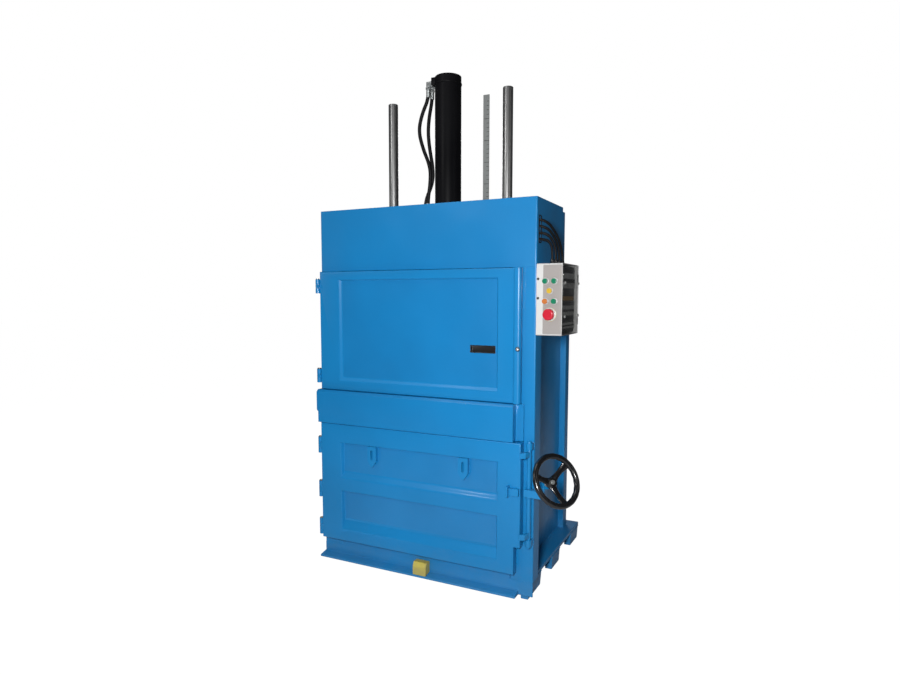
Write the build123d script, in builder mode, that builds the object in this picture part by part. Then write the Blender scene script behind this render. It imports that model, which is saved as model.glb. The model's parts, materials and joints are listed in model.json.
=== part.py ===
"""Vertical recycling baler: a two-door baling press with an overhead hydraulic ram.

Frame: +X to the machine's right, +Y to its back, +Z up, origin on the floor under the
middle of the base. Millimetres throughout.
"""

import os
from math import atan2, cos, degrees, pi, radians, sin, tan

from build123d import *

os.makedirs("parts", exist_ok=True)

# Overall body
BODY_WIDTH = 1384.0
BODY_DEPTH = 710.0
BODY_TOP = 2175.0
BASE_DEPTH = 1050.0
BASE_INSET = 25.0
FRONT = -BASE_DEPTH / 2
BACK = FRONT + BODY_DEPTH
HALF = BODY_WIDTH / 2

# Levels above the floor
SILL_BOTTOM = 25.0
FOOT_HEIGHT = 84.0
BASE_TOP = 106.0
CHAMBER_FLOOR = 150.0
BEAM_BOTTOM = 885.0
BEAM_TOP = 1088.0
HEADER_BOTTOM = 1812.0
TOP_BEAM_TOP = 2150.0

# Plates, posts and running gaps
POST_WIDTH = 132.0
POST_DEPTH = 100.0
POST_WALL = 6.0
REAR_POST = 80.0
REAR_POST_INSET = 88.0
REAR_POST_MARGIN = 80.0
WALL = 8.0
DOOR_GAP = 3.0
DOOR_BACK_GAP = 2.0
RUNNING = 0.05

BACK_WALL_TOP = 1992.0
BACK_RIBS = (400.0, 780.0, 1160.0, 1540.0)
RIB_DEPTH = 44.0
RIB_HEIGHT = 80.0

# Base: a pallet of nine feet under a deck, closed at the front by a sill
FOOT_WIDTH = 52.0
FOOT_TAPER = 5.0
FOOT_LENGTHS = (225.0, 162.0, 180.0)
FOOT_STARTS = (WALL, 444.0, 862.0)
DECK = 10.0
BASE_BEAM = 80.0
SILL_LIP_DEPTH = 58.0
SILL_LIP_HEIGHT = 24.0
SILL_LIP_SETBACK = 82.0

# Strapping grooves, in the chamber floor and the platen's face
GROOVE_WIDTH = 34.0
GROOVE_DEPTH = 12.0
GROOVE_COUNT = 5
GROOVE_PITCH = 220.0

# Front beam between the doors: a folded box whose upper part runs past the post on the left
BEAM_OVERHANG = 10.0
BEAM_SETBACK = 102.0
BEAM_DEPTH = 58.0
BEAM_STEP = 62.0
BEAM_FOLD = 14.0
BEAM_PLATE = 12.0

# Stop block on the sill
STOP_LEFT = -26.0
STOP_WIDTH = 86.0
STOP_HEIGHT = 64.0
STOP_INSET = 2.0
STOP_SLOPE = 24.0

# Doors
DOOR_INSET = 16.0
LOWER_DOOR_SETBACK = 58.0
LATCH_WIDTH = 37.0
LOWER_DOOR_THICK = 50.0
LOWER_LEFT_STILE = 146.0
LOWER_RIGHT_STILE = 131.0
LOWER_BOTTOM_RAIL = 62.0
LOWER_RAIL_LOW = 470.0
LOWER_RAIL_HIGH = 545.0
LOWER_TOP_RAIL = 112.0
UPPER_DOOR_SETBACK = 71.0
UPPER_DOOR_THICK = 34.0
UPPER_LEFT_STILE = 130.0
UPPER_RIGHT_STILE = 127.0
UPPER_TOP_RAIL = 47.0
UPPER_BOTTOM_RAIL = 52.0
EDGE_TUBE = 42.0
PANEL_INSET = 22.0
PANEL_SHEET = 6.0
EDGE_ROUND = 6.0
GRIP_INSET = 94.0
GRIP_RISE = 283.0
GRIP_SIZE = (150.0, 42.0)
GRIP_WALL = 4.0
HOOK_INSETS = (227.0, 206.0)
HOOK_SIZE = (60.0, 122.0)
HOOK_STAND = 26.0
HOOK_SHEET = 5.0
HOOK_POINT = 36.0
HOOK_SLOT = (58.0, 16.0)

# Hinges
HINGE_OUT = 2.0
HINGE_FORWARD = 34.0
KNUCKLE_R = 14.0
HINGE_PIN_R = 7.0
PIN_HEAD_R = 11.0
PIN_HEAD = 6.0
LEAF_HEIGHT = 32.0
KNUCKLE_GAP = 1.0
LOWER_HINGES = (217.0, 458.0, 738.0)
LOWER_HINGE_HEIGHT = 100.0
UPPER_HINGES = (1172.0, 1720.0)
UPPER_HINGE_HEIGHT = 84.0

# Door lock: a shaft with claws on the right post, turned by a clamp screw and hand wheel
LOCK_INSET = 18.0
LOCK_FORWARD = 28.0
LOCK_SHAFT_R = 12.0
LOCK_BOTTOM = 312.0
LOCK_TOP = 896.0
LOCK_BEARINGS = (340.0, 868.0)
LOCK_CLAWS = (384.0, 826.0)
LOCK_BEARING_HEIGHT = 36.0
LOCK_SWING = 25.0
LOCK_BOSS = 6.0
CLAW_HEIGHT = 30.0
CLAW_GAP = 2.0
CLAW_HOLD = 13.0
CLAW_THICK = 16.0
LEVER_BOTTOM = 598.0
LEVER_TOP = 638.0
LEVER_THICK = 18.0
LEVER_REACH = 94.0
LEVER_HEAD = 30.0
LUG_LENGTH = 66.0
LUG_TAB = 12.0
WHEEL_OUT = 162.0
WHEEL_FORWARD = 70.0
WHEEL_LEVEL = 713.0
WHEEL_TURN = 57.0
WHEEL_LIFT = 27.0
WHEEL_R = 146.0
RIM_R = 16.0
HUB_R = 29.0
HUB_CLEAR = 3.0
HUB_LENGTH = 34.0
WHEEL_DISH = 45.0
SPOKE_COUNT = 3
SPOKE_START = 158.0
SPOKE_WIDTH = 38.0
SPOKE_THICK = 18.0
SCREW_R = 11.0
SCREW_LENGTH = 96.0
NUT_FROM_HUB = 62.0
NUT_R = 24.0
NUT_LENGTH = 36.0
PAD_R = 14.0
PAD_LENGTH = 10.0

# Header, ram and guides
HEADER_WALL = 8.0
HEADER_SIDE_DEPTH = 470.0
HEADER_TAIL = 41.0
HEADER_LIP = 45.0
RAM_SETBACK = 360.0
TOP_BEAM_WIDTH = 70.0
TOP_BEAM_HEIGHT = 140.0
TOP_BEAM_WALL = 8.0
TOP_BEAM_OFFSET = 110.0
COVER_SHEET = 4.0
COVER_GAP = 2.0
CYLINDER_R = 80.0
CYLINDER_BORE_R = 62.5
CYLINDER_TOP = 2975.0
FLANGE_SIZE = (240.0, 300.0)
FLANGE_THICK = 30.0
GLAND_R = 62.0
GLAND_DROP = 70.0
CAP_THICK = 46.0
CAP_CHAMFER = 3.0
PISTON_HEIGHT = 90.0
ROD_R = 35.0
PISTON_END_GAP = 19.0
GUIDE_X = 386.0
GUIDE_R = 30.0
GUIDE_TOP = 2862.0
GUIDE_CHAMFER = 3.0
BUSH_R = 46.0
BUSH_DROP = 70.0
BUSH_COLLAR = 22.0
BUSH_PLATE = (124.0, 290.0, 14.0)
GAUGE_X = 251.0
GAUGE_WIDTH = 38.0
GAUGE_THICK = 6.0
GAUGE_TOP = 2838.0
GAUGE_SLOT_GAP = 4.0

# Platen
PLATEN_SIDE_GAP = 14.0
PLATEN_END_GAP = 30.0
PLATEN_BOTTOM = 1832.0
PLATEN_PLATE = 26.0
PLATEN_RIB = 100.0
PLATEN_RIB_THICK = 20.0
PLATEN_TOP_PLATE = 16.0
PLATEN_MARGIN = 66.0
RIB_SPACE = 90.0

# Hoses and their fittings
HOSE_R = 11.0
PORT_DROP = 34.0
PORT_PITCH = 48.0
PORT_BOSS = 12.0
PORT_REACH = 30.0
PORT_R = 16.0
PORT_EDGE = 6.0
ELBOW_R = 13.0
ELBOW_LENGTH = 46.0
HOSE_BOWS = (-62.0, -22.0)
HOSE_TUCKS = (14.0, 8.0)
BULKHEADS = ((-140.0, 0.0), (-170.0, 20.0))
BULKHEAD_R = 17.0
BULKHEAD_HEIGHT = 40.0

# Control cabinet on the right post
BOX_WIDTH = 146.0
BOX_DEPTH = 295.0
BOX_BOTTOM = 1456.0
BOX_TOP = 1830.0
BOX_WALL = 4.0
LID_THICK = 8.0
LID_WALL = 4.0
LID_HINGE_R = 5.0
LID_HINGE_CLEAR = 0.3
LID_HINGE_HEIGHT = 40.0
LID_HINGE_INSET = 50.0
BOX_ROUND = 8.0
GEAR_PLATE = 3.0
GEAR_FRONT = 70.0
GEAR_MARGIN = 24.0
GEAR_GAP = 3.0
GEAR_DEPTH = 70.0
GEAR_ROWS = ((284.0, 84.0, 5), (154.0, 70.0, 3), (64.0, 46.0, 8))
BUTTON_R = 14.0
BUTTON_HOLE_R = 11.0
BUTTON_CLEAR = 0.3
BUTTON_STAND = 9.0
BUTTON_TRAVEL = 4.0
BUTTON_REST = 1.0
BUTTON_TAIL = 10.0
BUTTON_ROUND = 2.5
COLLAR_R = 17.0
COLLAR_THICK = 4.0
STOP_R = 30.0
STOP_STAND = 26.0
STOP_ROUND = 9.0
STOP_RING = 5.0
BUTTON_PITCH = 48.0
BUTTON_DROPS = (92.0, 142.0, 196.0)
STOP_DROP = 264.0
GLAND_YS = (34.0, 96.0, 158.0, 220.0)
CABLE_GLAND_R = 12.0
CABLE_GLAND_HEIGHT = 24.0
CABLE_R = 7.0
CABLE_PORT_SETBACK = 47.0
CABLE_PORT_LEVEL = 2011.0
CABLE_PITCH = 34.0
CABLE_PORT_SIZE = (34.0, 140.0)

# Power unit on the base, behind the body
TANK_WIDTH = 640.0
TANK_DEPTH = 240.0
TANK_HEIGHT = 340.0
TANK_GAP = 72.0
TANK_LID = 8.0
TANK_RIM = 12.0
TANK_ROUND = 18.0
MOTOR_R = 92.0
MOTOR_HEIGHT = 250.0
MOTOR_FLANGE_R = 110.0
MOTOR_FLANGE = 18.0
FIN_COUNT = 20
FIN_HEIGHT = 10.0
FIN_THICK = 5.0
FIN_MARGIN = 15.0
TERMINAL_BOX = (100.0, 60.0, 90.0)
COWL_HEIGHT = 70.0
COWL_ROUND = 16.0
SOLENOID_R = 24.0
SOLENOID_LENGTH = 62.0
FILLER_R = 30.0
FILLER_NECK = 30.0
FILLER_CAP = 22.0
VALVE_SIZE = (150.0, 90.0, 110.0)
VALVE_X = -150.0
VALVE_GAP = 13.0
FILLER_INSET = 40.0
PIPE_R = 10.0
PIPE_LEVEL = 2072.0
PIPE_BEND = 26.0
PIPE_CLEAR = 1.0
PIPE_RISE = 60.0
PIPE_STAND = 14.0

DOOR_BACK = FRONT - DOOR_BACK_GAP
DOOR_LEFT = -HALF + DOOR_INSET
LOWER_DOOR_RIGHT = HALF - LOWER_DOOR_SETBACK
UPPER_DOOR_RIGHT = HALF - UPPER_DOOR_SETBACK
UPPER_DOOR_BOTTOM = BEAM_TOP + DOOR_GAP
UPPER_DOOR_TOP = HEADER_BOTTOM - DOOR_GAP
LOWER_DOOR_BOTTOM = CHAMBER_FLOOR + DOOR_GAP
LOWER_DOOR_TOP = BEAM_BOTTOM - DOOR_GAP
POST_INNER = HALF - POST_WIDTH
PLATEN_WIDTH = 2 * (POST_INNER - PLATEN_SIDE_GAP)
PLATEN_DEPTH = BODY_DEPTH - 2 * PLATEN_END_GAP
WALL_TOP = TOP_BEAM_TOP - TOP_BEAM_HEIGHT
HEADER_IN = HALF - HEADER_WALL
HEADER_SIDE_BACK = FRONT + HEADER_SIDE_DEPTH
HEADER_BACK = HEADER_SIDE_BACK + HEADER_TAIL
REAR_POST_FRONT = -FRONT - REAR_POST_MARGIN - REAR_POST
BEAM_LEFT = -HALF - BEAM_OVERHANG
BEAM_RIGHT = HALF - BEAM_SETBACK
HINGE_X = -HALF - HINGE_OUT
HINGE_Y = FRONT - HINGE_FORWARD
LOCK_X = HALF - LOCK_INSET
LOCK_Y = FRONT - LOCK_FORWARD
LEVER_END = LOCK_X + LEVER_REACH
RAM_Y = FRONT + RAM_SETBACK
WHEEL_CENTRE = Vector(LOCK_X + WHEEL_OUT, FRONT - WHEEL_FORWARD, WHEEL_LEVEL)
WHEEL_AXIS = Vector(
    sin(radians(WHEEL_TURN)) * cos(radians(WHEEL_LIFT)),
    -cos(radians(WHEEL_TURN)) * cos(radians(WHEEL_LIFT)),
    sin(radians(WHEEL_LIFT)),
)
HUB_CENTRE = WHEEL_CENTRE - WHEEL_AXIS * WHEEL_DISH
NUT_CENTRE = HUB_CENTRE - WHEEL_AXIS * NUT_FROM_HUB
SCREW_TIP = HUB_CENTRE - WHEEL_AXIS * SCREW_LENGTH
PLATEN_TOP = PLATEN_BOTTOM + PLATEN_PLATE + PLATEN_RIB + PLATEN_TOP_PLATE
FLANGE_TOP = TOP_BEAM_TOP + FLANGE_THICK
STROKE = CYLINDER_TOP - CAP_THICK - PISTON_END_GAP - PISTON_HEIGHT - FLANGE_TOP
PISTON_BOTTOM = FLANGE_TOP + STROKE
PORT_Z = CYLINDER_TOP - PORT_DROP
PORT_YS = (RAM_Y - PORT_PITCH / 2, RAM_Y + PORT_PITCH / 2)
PORT_FACE = -CYLINDER_R - PORT_BOSS
ELBOW_X = PORT_FACE - PORT_REACH
BOX_LEFT = HALF
BOX_RIGHT = BOX_LEFT + BOX_WIDTH
BOX_BACK = FRONT + BOX_DEPTH
LID_LEFT = BOX_RIGHT - LID_THICK
LID_HINGE_Y = BOX_BACK + LID_HINGE_R + LID_HINGE_CLEAR
TANK_FRONT = BACK + TANK_GAP
TANK_MIDDLE = TANK_FRONT + TANK_DEPTH / 2
TANK_TOP = BASE_TOP + TANK_HEIGHT
MOTOR_X = VALVE_X + VALVE_SIZE[0] / 2 + SOLENOID_LENGTH + VALVE_GAP + MOTOR_FLANGE_R


def block(x0, x1, y0, y1, z0, z1, mode=Mode.ADD):
    """A box between two corners, joined to the part in hand."""
    with Locations(((x0 + x1) / 2, (y0 + y1) / 2, (z0 + z1) / 2)):
        Box(x1 - x0, y1 - y0, z1 - z0, mode=mode)


def rod(start, direction, radius, length, mode=Mode.ADD):
    """A round bar from a point along a direction, joined to the part in hand."""
    with Locations(Plane(origin=start, z_dir=direction).location):
        Cylinder(radius, length, align=(Align.CENTER, Align.CENTER, Align.MIN), mode=mode)


def write(name, part):
    """Label a finished piece and write its STEP file."""
    part.label = name
    export_step(part, f"parts/{name}.step")


def feet_and_base():
    """The welded base: deck, edge beams, front sill with its lip, and nine feet."""
    side = HALF - BASE_INSET
    with BuildPart() as base:
        with BuildSketch(Plane.XY.offset(FOOT_HEIGHT)):
            Rectangle(2 * side, BASE_DEPTH)
            Rectangle(2 * side - 2 * BASE_BEAM, BASE_DEPTH - 2 * BASE_BEAM, mode=Mode.SUBTRACT)
            Rectangle(2 * side, 2 * BASE_BEAM)
            Rectangle(2 * BASE_BEAM, BASE_DEPTH)
        extrude(amount=BASE_TOP - DECK - FOOT_HEIGHT)
        block(-side, side, FRONT, -FRONT, BASE_TOP - DECK, BASE_TOP)
        block(-HALF, HALF, FRONT, FRONT + WALL, SILL_BOTTOM, BASE_TOP)
        block(-POST_INNER, POST_INNER, FRONT, FRONT + WALL, BASE_TOP, CHAMBER_FLOOR)
        with BuildSketch(Plane.YZ.offset(-HALF)):
            with BuildLine():
                Polyline(
                    (FRONT, SILL_BOTTOM),
                    (FRONT - SILL_LIP_DEPTH, SILL_BOTTOM),
                    (FRONT - SILL_LIP_DEPTH, SILL_BOTTOM + SILL_LIP_HEIGHT / 2),
                    (FRONT, SILL_BOTTOM + SILL_LIP_HEIGHT),
                    close=True,
                )
            make_face()
        extrude(amount=BODY_WIDTH - SILL_LIP_SETBACK)
    write("base_frame", base.part)

    foot_columns = (-side + FOOT_WIDTH / 2, 0, side - FOOT_WIDTH / 2)
    with BuildPart() as feet:
        for start, length in zip(FOOT_STARTS, FOOT_LENGTHS):
            for column in foot_columns:
                with BuildSketch(Plane.XY):
                    with Locations((column, FRONT + start + length / 2)):
                        Rectangle(FOOT_WIDTH - 2 * FOOT_TAPER, length - 2 * FOOT_TAPER)
                with BuildSketch(Plane.XY.offset(FOOT_HEIGHT)):
                    with Locations((column, FRONT + start + length / 2)):
                        Rectangle(FOOT_WIDTH, length)
                loft()
    write("base_feet", feet.part)

    lip_front = FRONT - SILL_LIP_DEPTH + STOP_INSET
    lip_top = SILL_BOTTOM + SILL_LIP_HEIGHT
    lip_fall = SILL_LIP_HEIGHT / 2 / SILL_LIP_DEPTH
    with BuildPart() as stop:
        with BuildSketch(Plane.YZ.offset(STOP_LEFT)):
            with BuildLine():
                Polyline(
                    (lip_front, lip_top - lip_fall * (FRONT - lip_front)),
                    (FRONT - STOP_INSET, lip_top - lip_fall * STOP_INSET),
                    (FRONT - STOP_INSET, lip_top + STOP_HEIGHT),
                    (lip_front + STOP_SLOPE / 2, lip_top + STOP_HEIGHT),
                    (lip_front, lip_top + STOP_HEIGHT - STOP_SLOPE),
                    close=True,
                )
            make_face()
        extrude(amount=STOP_WIDTH)
    write("sill_stop", stop.part)


def posts(name, outer, wide, front, deep):
    """A pair of hollow corner posts, left and right, from the base up to the header."""
    middle = outer - wide / 2
    with BuildPart() as pair:
        with BuildSketch(Plane.XY.offset(BASE_TOP)):
            with Locations((-middle, front + deep / 2), (middle, front + deep / 2)):
                RectangleRounded(wide, deep, POST_WALL)
                Rectangle(wide - 2 * POST_WALL, deep - 2 * POST_WALL, mode=Mode.SUBTRACT)
        extrude(amount=HEADER_BOTTOM - BASE_TOP)
    write(name, pair.part)


def shell():
    """Posts, walls, floor, the front beam between the doors and the header box."""
    posts("front_posts", HALF, POST_WIDTH, FRONT, POST_DEPTH)
    posts("rear_posts", HALF - REAR_POST_INSET, REAR_POST, REAR_POST_FRONT, REAR_POST)

    post_back = FRONT + POST_DEPTH
    with BuildPart() as walls:
        for inner in (POST_INNER, -POST_INNER - WALL):
            block(inner, inner + WALL, post_back, BACK, BASE_TOP, WALL_TOP)
            block(inner, inner + WALL, BACK, REAR_POST_FRONT, BASE_TOP, HEADER_BOTTOM)
    write("side_walls", walls.part)

    with BuildPart() as back_wall:
        block(-POST_INNER, POST_INNER, BACK - 2 * WALL, BACK - WALL, BASE_TOP, BACK_WALL_TOP)
        for level in BACK_RIBS:
            with BuildSketch(Plane.YZ.offset(-POST_INNER)):
                with Locations((BACK - WALL + RIB_DEPTH / 2, level)):
                    Rectangle(RIB_DEPTH, RIB_HEIGHT)
                with Locations((BACK - WALL + (RIB_DEPTH - WALL) / 2, level)):
                    Rectangle(RIB_DEPTH - WALL, RIB_HEIGHT - 2 * WALL, mode=Mode.SUBTRACT)
            extrude(amount=2 * POST_INNER)
    write("back_wall", back_wall.part)

    with BuildPart() as floor:
        block(-POST_INNER, POST_INNER, FRONT + WALL, BACK - 2 * WALL, BASE_TOP, CHAMBER_FLOOR)
        with GridLocations(GROOVE_PITCH, 1, GROOVE_COUNT, 1):
            with Locations((0, (FRONT + BACK) / 2, CHAMBER_FLOOR - GROOVE_DEPTH / 2)):
                Box(GROOVE_WIDTH, BODY_DEPTH + BASE_BEAM, GROOVE_DEPTH, mode=Mode.SUBTRACT)
    write("chamber_floor", floor.part)

    step = BEAM_BOTTOM + BEAM_STEP
    with BuildPart() as beam:
        with BuildSketch(Plane.YZ.offset(BEAM_LEFT)):
            with BuildLine():
                Polyline(
                    (FRONT, BEAM_TOP),
                    (FRONT - BEAM_DEPTH + BEAM_FOLD, BEAM_TOP),
                    (FRONT - BEAM_DEPTH, BEAM_TOP - BEAM_FOLD),
                    (FRONT - BEAM_DEPTH, step + BEAM_FOLD),
                    (FRONT - BEAM_DEPTH + BEAM_FOLD, step),
                    (FRONT, step),
                    close=True,
                )
            make_face()
        extrude(amount=BEAM_RIGHT - BEAM_LEFT)
        block(-HALF, BEAM_RIGHT, FRONT - BEAM_DEPTH, FRONT, BEAM_BOTTOM, step + BEAM_FOLD)
        block(BEAM_RIGHT, LOWER_DOOR_RIGHT, FRONT - BEAM_PLATE, FRONT, BEAM_BOTTOM, BEAM_TOP)
    write("front_beam", beam.part)

    with BuildPart() as header:
        with BuildSketch(Plane.XY.offset(HEADER_BOTTOM)) as plan:
            with Locations((0, FRONT + HEADER_SIDE_DEPTH / 2)):
                Rectangle(BODY_WIDTH, HEADER_SIDE_DEPTH)
            fillet(plan.vertices().group_by(Axis.Y)[0], HEADER_WALL)
            with Locations((0, FRONT + HEADER_WALL + HEADER_SIDE_DEPTH / 2)):
                Rectangle(2 * HEADER_IN, HEADER_SIDE_DEPTH, mode=Mode.SUBTRACT)
        extrude(amount=BODY_TOP - HEADER_BOTTOM)
        block(
            -HEADER_IN, HEADER_IN, FRONT + HEADER_WALL, FRONT + HEADER_LIP,
            BODY_TOP - HEADER_WALL / 2, BODY_TOP,
        )
        for side in (-1, 1):
            side_in, side_out = sorted((side * HEADER_IN, side * HALF))
            block(side_in, side_out, HEADER_SIDE_BACK, HEADER_BACK, HEADER_BOTTOM, TOP_BEAM_TOP)
            ledge_in, ledge_out = sorted((side * (POST_INNER + WALL), side * HEADER_IN))
            block(ledge_in, ledge_out, post_back, HEADER_BACK, HEADER_BOTTOM, HEADER_BOTTOM + WALL)
        wide, high = CABLE_PORT_SIZE
        port_y = FRONT + CABLE_PORT_SETBACK
        block(
            HEADER_IN, HALF, port_y - wide / 2, port_y + wide / 2,
            CABLE_PORT_LEVEL - high / 2, CABLE_PORT_LEVEL + high / 2, Mode.SUBTRACT,
        )
    write("header_box", header.part)


def top_frame():
    """The two top beams, the cover over them, and the bushes that guide the ram."""
    rear_beam = RAM_Y + TOP_BEAM_OFFSET
    with BuildPart() as beams:
        with BuildSketch(Plane.YZ.offset(-HEADER_IN)):
            level = TOP_BEAM_TOP - TOP_BEAM_HEIGHT / 2
            with Locations((RAM_Y - TOP_BEAM_OFFSET, level), (rear_beam, level)):
                Rectangle(TOP_BEAM_WIDTH, TOP_BEAM_HEIGHT)
                Rectangle(
                    TOP_BEAM_WIDTH - 2 * TOP_BEAM_WALL, TOP_BEAM_HEIGHT - 2 * TOP_BEAM_WALL,
                    mode=Mode.SUBTRACT,
                )
        extrude(amount=2 * HEADER_IN)
        for pipe_x, _ in BULKHEADS:
            rod(
                (pipe_x, rear_beam - TOP_BEAM_WIDTH / 2, PIPE_LEVEL), (0, 1, 0),
                PIPE_R + PIPE_CLEAR, TOP_BEAM_WIDTH, Mode.SUBTRACT,
            )
    write("top_beams", beams.part)

    flange_x, flange_y = FLANGE_SIZE
    plate_x, plate_y, plate_z = BUSH_PLATE
    with BuildPart() as cover:
        block(
            -HEADER_IN, HEADER_IN, FRONT + HEADER_WALL, rear_beam + TOP_BEAM_WIDTH / 2,
            TOP_BEAM_TOP, TOP_BEAM_TOP + COVER_SHEET,
        )
        cut = {"z0": TOP_BEAM_TOP, "z1": TOP_BEAM_TOP + COVER_SHEET, "mode": Mode.SUBTRACT}
        block(
            -flange_x / 2 - COVER_GAP, flange_x / 2 + COVER_GAP,
            RAM_Y - flange_y / 2 - COVER_GAP, RAM_Y + flange_y / 2 + COVER_GAP, **cut,
        )
        for side in (-GUIDE_X, GUIDE_X):
            block(
                side - plate_x / 2 - COVER_GAP, side + plate_x / 2 + COVER_GAP,
                RAM_Y - plate_y / 2 - COVER_GAP, RAM_Y + plate_y / 2 + COVER_GAP, **cut,
            )
        block(
            GAUGE_X - GAUGE_WIDTH / 2 - GAUGE_SLOT_GAP, GAUGE_X + GAUGE_WIDTH / 2 + GAUGE_SLOT_GAP,
            RAM_Y - GAUGE_THICK / 2 - GAUGE_SLOT_GAP, RAM_Y + GAUGE_THICK / 2 + GAUGE_SLOT_GAP, **cut,
        )
        for pipe_x, behind in BULKHEADS:
            rod(
                (pipe_x, RAM_Y + behind, TOP_BEAM_TOP), (0, 0, 1), PIPE_R + PIPE_CLEAR, COVER_SHEET,
                Mode.SUBTRACT,
            )
    write("header_cover", cover.part)

    with BuildPart() as bushes:
        for side in (-GUIDE_X, GUIDE_X):
            block(
                side - plate_x / 2, side + plate_x / 2, RAM_Y - plate_y / 2, RAM_Y + plate_y / 2,
                TOP_BEAM_TOP, TOP_BEAM_TOP + plate_z,
            )
            bottom = (side, RAM_Y, TOP_BEAM_TOP - BUSH_DROP)
            length = BUSH_DROP + plate_z + BUSH_COLLAR
            rod(bottom, (0, 0, 1), BUSH_R, length)
            rod(bottom, (0, 0, 1), GUIDE_R + RUNNING, length, Mode.SUBTRACT)
    write("guide_bushes", bushes.part)


def ram():
    """The cylinder on its flange, and the platen with its rods, which move together."""
    flange_x, flange_y = FLANGE_SIZE
    with BuildPart() as flange:
        block(
            -flange_x / 2, flange_x / 2, RAM_Y - flange_y / 2, RAM_Y + flange_y / 2,
            TOP_BEAM_TOP, FLANGE_TOP,
        )
        gland = (0, RAM_Y, TOP_BEAM_TOP - GLAND_DROP)
        rod(gland, (0, 0, 1), GLAND_R, GLAND_DROP)
        rod(gland, (0, 0, 1), ROD_R + RUNNING, GLAND_DROP + FLANGE_THICK, Mode.SUBTRACT)
    write("cylinder_flange", flange.part)

    with BuildPart() as barrel:
        length = CYLINDER_TOP - CAP_THICK - FLANGE_TOP
        rod((0, RAM_Y, FLANGE_TOP), (0, 0, 1), CYLINDER_R, length)
        rod((0, RAM_Y, FLANGE_TOP), (0, 0, 1), CYLINDER_BORE_R, length, Mode.SUBTRACT)
    write("cylinder_barrel", barrel.part)

    with BuildPart() as cap:
        rod((0, RAM_Y, CYLINDER_TOP - CAP_THICK), (0, 0, 1), CYLINDER_R, CAP_THICK)
        chamfer(cap.edges().group_by(Axis.Z)[-1], CAP_CHAMFER)
        block(
            PORT_FACE, 0, PORT_YS[0] - PORT_R - PORT_EDGE, PORT_YS[1] + PORT_R + PORT_EDGE,
            CYLINDER_TOP - CAP_THICK, CYLINDER_TOP - CAP_CHAMFER - 1,
        )
    write("cylinder_cap", cap.part)

    with BuildPart() as piston_rod:
        rod((0, RAM_Y, PLATEN_TOP), (0, 0, 1), ROD_R, PISTON_BOTTOM - PLATEN_TOP)
        rod((0, RAM_Y, PISTON_BOTTOM), (0, 0, 1), CYLINDER_BORE_R - RUNNING, PISTON_HEIGHT)
    write("piston_rod", piston_rod.part)

    half_x = PLATEN_WIDTH / 2
    y0 = FRONT + PLATEN_END_GAP
    y1 = y0 + PLATEN_DEPTH
    rib_bottom = PLATEN_BOTTOM + PLATEN_PLATE
    rib_top = rib_bottom + PLATEN_RIB
    with BuildPart() as platen:
        block(-half_x, half_x, y0, y1, PLATEN_BOTTOM, rib_bottom)
        with GridLocations(GROOVE_PITCH, 1, GROOVE_COUNT, 1):
            with Locations((0, (FRONT + BACK) / 2, PLATEN_BOTTOM + GROOVE_DEPTH / 2)):
                Box(GROOVE_WIDTH, BODY_DEPTH, GROOVE_DEPTH, mode=Mode.SUBTRACT)
        for middle in (y0 + PLATEN_MARGIN, RAM_Y - RIB_SPACE, RAM_Y + RIB_SPACE, y1 - PLATEN_MARGIN):
            block(
                -half_x, half_x, middle - PLATEN_RIB_THICK / 2, middle + PLATEN_RIB_THICK / 2,
                rib_bottom, rib_top,
            )
        for middle in (half_x - PLATEN_MARGIN, GUIDE_X - RIB_SPACE, RIB_SPACE):
            for side in (-middle, middle):
                block(
                    side - PLATEN_RIB_THICK / 2, side + PLATEN_RIB_THICK / 2,
                    y0 + PLATEN_MARGIN, y1 - PLATEN_MARGIN, rib_bottom, rib_top,
                )
        plate_x = GUIDE_X + RIB_SPACE
        plate_y = RIB_SPACE + PLATEN_RIB_THICK
        block(-plate_x, plate_x, RAM_Y - plate_y, RAM_Y + plate_y, rib_top, PLATEN_TOP)
    write("platen", platen.part)

    with BuildPart() as guides:
        for side in (-GUIDE_X, GUIDE_X):
            rod((side, RAM_Y, PLATEN_TOP), (0, 0, 1), GUIDE_R, GUIDE_TOP - PLATEN_TOP)
        chamfer(guides.edges().group_by(Axis.Z)[-1], GUIDE_CHAMFER)
    write("guide_rods", guides.part)

    with BuildPart() as gauge:
        block(
            GAUGE_X - GAUGE_WIDTH / 2, GAUGE_X + GAUGE_WIDTH / 2,
            RAM_Y - GAUGE_THICK / 2, RAM_Y + GAUGE_THICK / 2, PLATEN_TOP, GAUGE_TOP,
        )
    write("stroke_gauge", gauge.part)


def hinge_rows():
    """Each hinge's middle level and height, on both doors."""
    lower = [(level, LOWER_HINGE_HEIGHT) for level in LOWER_HINGES]
    return lower + [(level, UPPER_HINGE_HEIGHT) for level in UPPER_HINGES]


def hinge_halves():
    """The post's half of every hinge, two knuckles on a leaf, and the pins driven into them."""
    with BuildPart() as leaves:
        for level, height in hinge_rows():
            for start in (level - height / 2, level + height / 2 - LEAF_HEIGHT):
                rod((HINGE_X, HINGE_Y, start), (0, 0, 1), KNUCKLE_R, LEAF_HEIGHT)
                block(
                    HINGE_X - KNUCKLE_R, HINGE_X + KNUCKLE_R, HINGE_Y, FRONT,
                    start, start + LEAF_HEIGHT,
                )
                rod((HINGE_X, HINGE_Y, start), (0, 0, 1), HINGE_PIN_R, LEAF_HEIGHT, Mode.SUBTRACT)
    write("hinge_leaves", leaves.part)

    with BuildPart() as pins:
        for level, height in hinge_rows():
            rod((HINGE_X, HINGE_Y, level - height / 2), (0, 0, 1), HINGE_PIN_R, height)
            rod((HINGE_X, HINGE_Y, level + height / 2), (0, 0, 1), PIN_HEAD_R, PIN_HEAD)
    write("hinge_pins", pins.part)


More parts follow.
